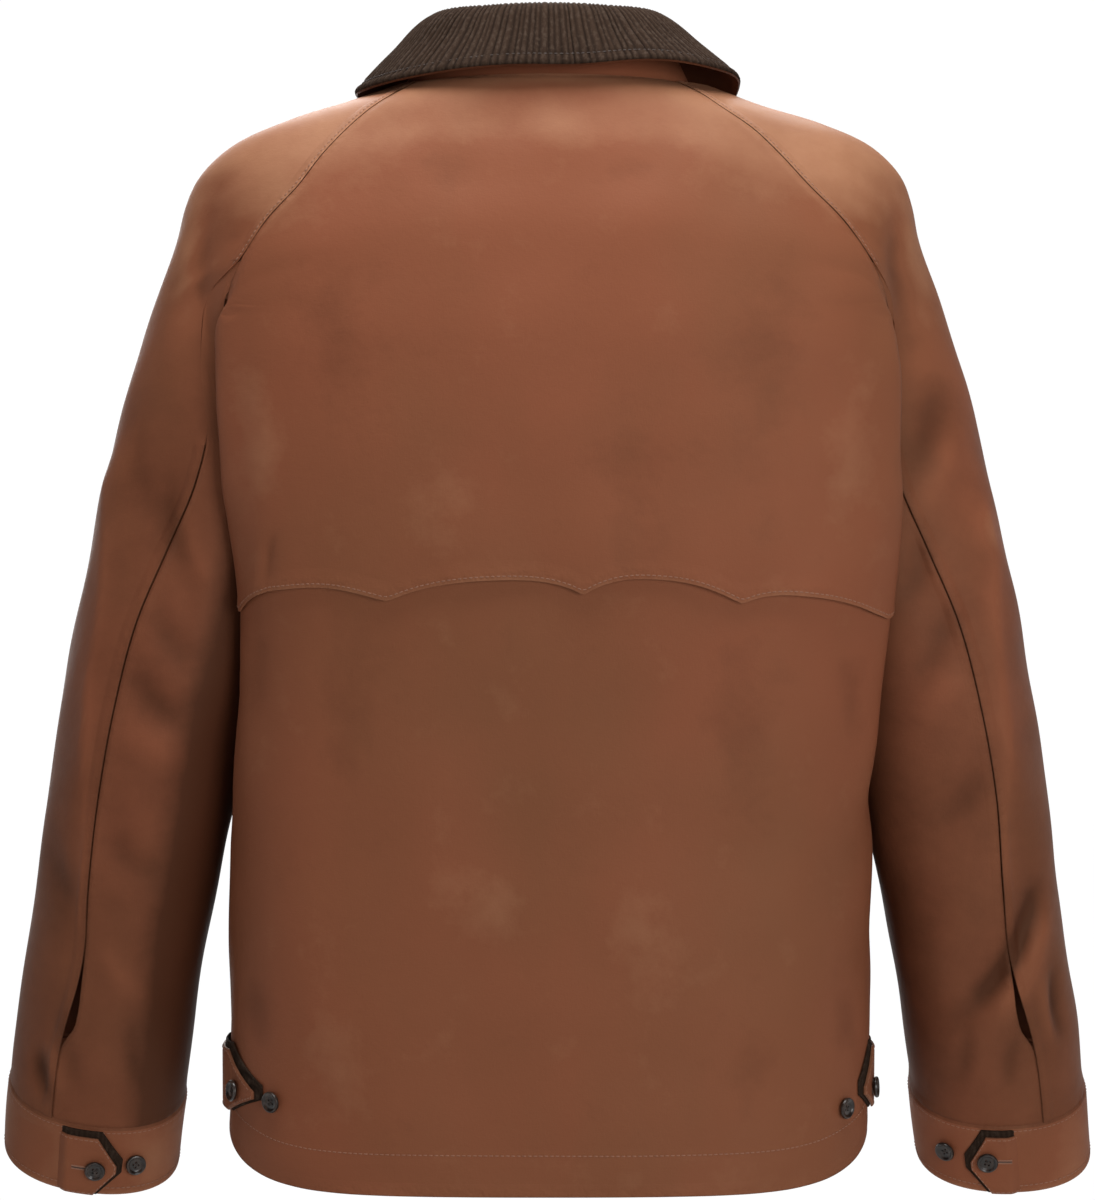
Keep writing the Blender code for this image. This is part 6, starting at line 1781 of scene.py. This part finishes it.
# %% Make the placket
PLACKET_HALF, PLACKET_CLOTH, PLACKET_LIFT = 0.028, 0.0020, GAP + 0.0006
PLACKET_TOP_GAP = 0.006
PLACKET_STITCH = 0.0050
PLACKET_GROOVE, PLACKET_GROOVE_WIDE = 0.0004, 0.0010
PLACKET_ROUND, PLACKET_ROUND_WIDE = 0.0007, 0.0008
PLACKET_WORN, PLACKET_WORN_WIDE = 0.7, 0.0015
PLACKET_COLUMNS, BESIDE_EDGE = 19, np.array((-0.97, -0.93, 0.93, 0.97))
FRONT_HOLE = (4, 9)  # columns from the button to the buttonhole's ends
FRONT_BUTTONS, FRONT_BUTTON_TOP, FRONT_BUTTON_LOW = 5, -0.150, -0.610
halves = np.linspace(-PLACKET_HALF, PLACKET_HALF, PLACKET_COLUMNS)
halves = np.unique(np.concatenate((halves, PLACKET_HALF * BESIDE_EDGE)))
split = len(halves) // 2
rows = []
for left, right in zip(fine["front_left"], fine["front_right"]):
    to_right, to_left = (at(np.abs(part), run_along(row), row) for part, row in
                         ((halves[:split], right), (halves[split:], left)))
    rows.append(np.concatenate((to_right, to_left)))
placket = np.array(rows)
placket[:, split] = (placket[:, split - 1] + placket[:, split + 1]) / 2
out = row_normals(placket, FRONT)
placket[-1] += square_to_edge(placket[-1], placket[-2], out[-1]) * PLACKET_TOP_GAP
from_side = border_distance(placket, "first", "last")
groove = PLACKET_GROOVE * bell(from_side - PLACKET_STITCH, PLACKET_GROOVE_WIDE)
groove = groove + PLACKET_ROUND * fading(from_side, PLACKET_ROUND_WIDE)
outer = placket + out * (PLACKET_LIFT + PLACKET_CLOTH - groove)[..., None]
inner = placket + out * PLACKET_LIFT
marks = {"lifted": PLACKET_WORN * fading(from_side, PLACKET_WORN_WIDE), "seam": from_side}
sheet_shell("front_placket", outer, inner, COTTON, ["front_left", "front_right"], marks)
sew("placket_stitches", [inset_line(outer, out, edge, PLACKET_STITCH) for edge in ("first", "last")])
for number, height in enumerate(np.linspace(FRONT_BUTTON_TOP, FRONT_BUTTON_LOW, FRONT_BUTTONS), 1):
    row = int(np.argmin(np.abs(placket[:, split, 2] - height)))
    sew_button("front_button_%d" % number, placket[row, split], out[row, split], PLACKET_LIFT + PLACKET_CLOTH)
    hole = slice(split + FRONT_HOLE[0], split + FRONT_HOLE[1])
    line = placket[row, hole] + out[row, hole] * (PLACKET_LIFT + PLACKET_CLOTH)
    cut_buttonhole("front_buttonhole_%d" % number, line, out[row, hole])

# %% [markdown]
# ## Floor, light and camera
#
# The jacket hangs at shoulder height over a plain pale floor. A soft lamp right above brightens the
# shoulders, as a studio's overhead softbox does, and another above the front edges them with light. The
# key stands beside the camera and shapes the sides, and a wide lamp fills the front. The room is bright
# below the horizon and a little above it, where the camera looks, and dim further up, so that the hollows
# stay dark.

# %% Floor and world
FLOOR, REACH = -1.45, 3.5
floor_mesh = bpy.data.meshes.new("floor")
corners = [(x * REACH, y * REACH, FLOOR) for x, y in ((-1, -1), (1, -1), (1, 1), (-1, 1))]
floor_mesh.from_pydata(corners, [], [(0, 1, 2, 3)])
floor = put("floor", floor_mesh)
floor_mesh.materials.append(Finish("floor").feed(Base_Color=tone(0.80, 0.80, 0.79), Roughness=0.9))

ROOM_DIM, ROOM_BRIGHT = 0.05, 0.97
BAND_FULL, BAND_FALL = 2.72, 56.0  # above 1 the band is full; how fast it falls with the height looked at
world = bpy.data.worlds.new("pale_room")
world.use_nodes = True
room = world.node_tree
direction, parts = room.nodes.new("ShaderNodeTexCoord"), room.nodes.new("ShaderNodeSeparateXYZ")
room.links.new(direction.outputs["Generated"], parts.inputs[0])
raised = Signal(room, parts.outputs["Z"]).clamped()
band = (BAND_FULL - raised * raised * BAND_FALL).clamped()
plug(room, room.nodes["Background"].inputs["Strength"], band * ROOM_BRIGHT + ROOM_DIM)
plug(room, room.nodes["Background"].inputs["Color"], tone(1.0, 1.0, 1.0))
bpy.context.scene.world = world
bpy.context.scene.view_settings.view_transform = "Standard"

# %% Lights
LIGHTS = (
    # name, place, aimed at, size, watts
    ("overhead", (0.00, 0.36, 1.25), (0.0, 0.05, -0.05), 1.2, 46.0),
    ("rim", (0.10, -1.20, 1.20), (0.0, 0.0, -0.10), 1.3, 34.0),
    ("key", (-1.15, 2.30, -0.15), (0.0, 0.0, -0.40), 1.1, 32.0),
    ("front_fill", (0.7, -2.4, 0.3), (0.0, 0.0, -0.35), 1.6, 22.0),
)
for name, place, aim, size, watts in LIGHTS:
    light = bpy.data.lights.new(name, "AREA")
    light.size, light.energy = size, watts
    lamp = put(name, light)
    lamp.location = place
    lamp.rotation_mode = "QUATERNION"
    lamp.rotation_quaternion = (Vector(aim) - Vector(place)).to_track_quat("-Z", "Y")

print("lamps:", len(LIGHTS), "watts:", sum(lamp[-1] for lamp in LIGHTS))

# %% Camera
CAMERA_BACK, CAMERA_HIGH = 2.44, -0.350
FRAME_HIGH = 0.828  # metres that the picture's height covers at the jacket's middle
SENSOR = 36.0
view = bpy.data.cameras.new("camera")
view.sensor_width = SENSOR
view.lens = SENSOR * CAMERA_BACK / FRAME_HIGH
camera = put("camera", view)
camera.location = (0.0, CAMERA_BACK, CAMERA_HIGH)
camera.rotation_euler = (math.pi / 2, 0.0, math.pi)
bpy.context.scene.camera = camera
print("lens %.1f mm" % view.lens)

# %% Sizes, and the end
triangles = {name: sum(len(f.vertices) - 2 for f in piece.data.polygons) for name, piece in PIECES.items()}
print("pieces:", len(PIECES), "triangles:", sum(triangles.values()), "most:", max(triangles.values()))
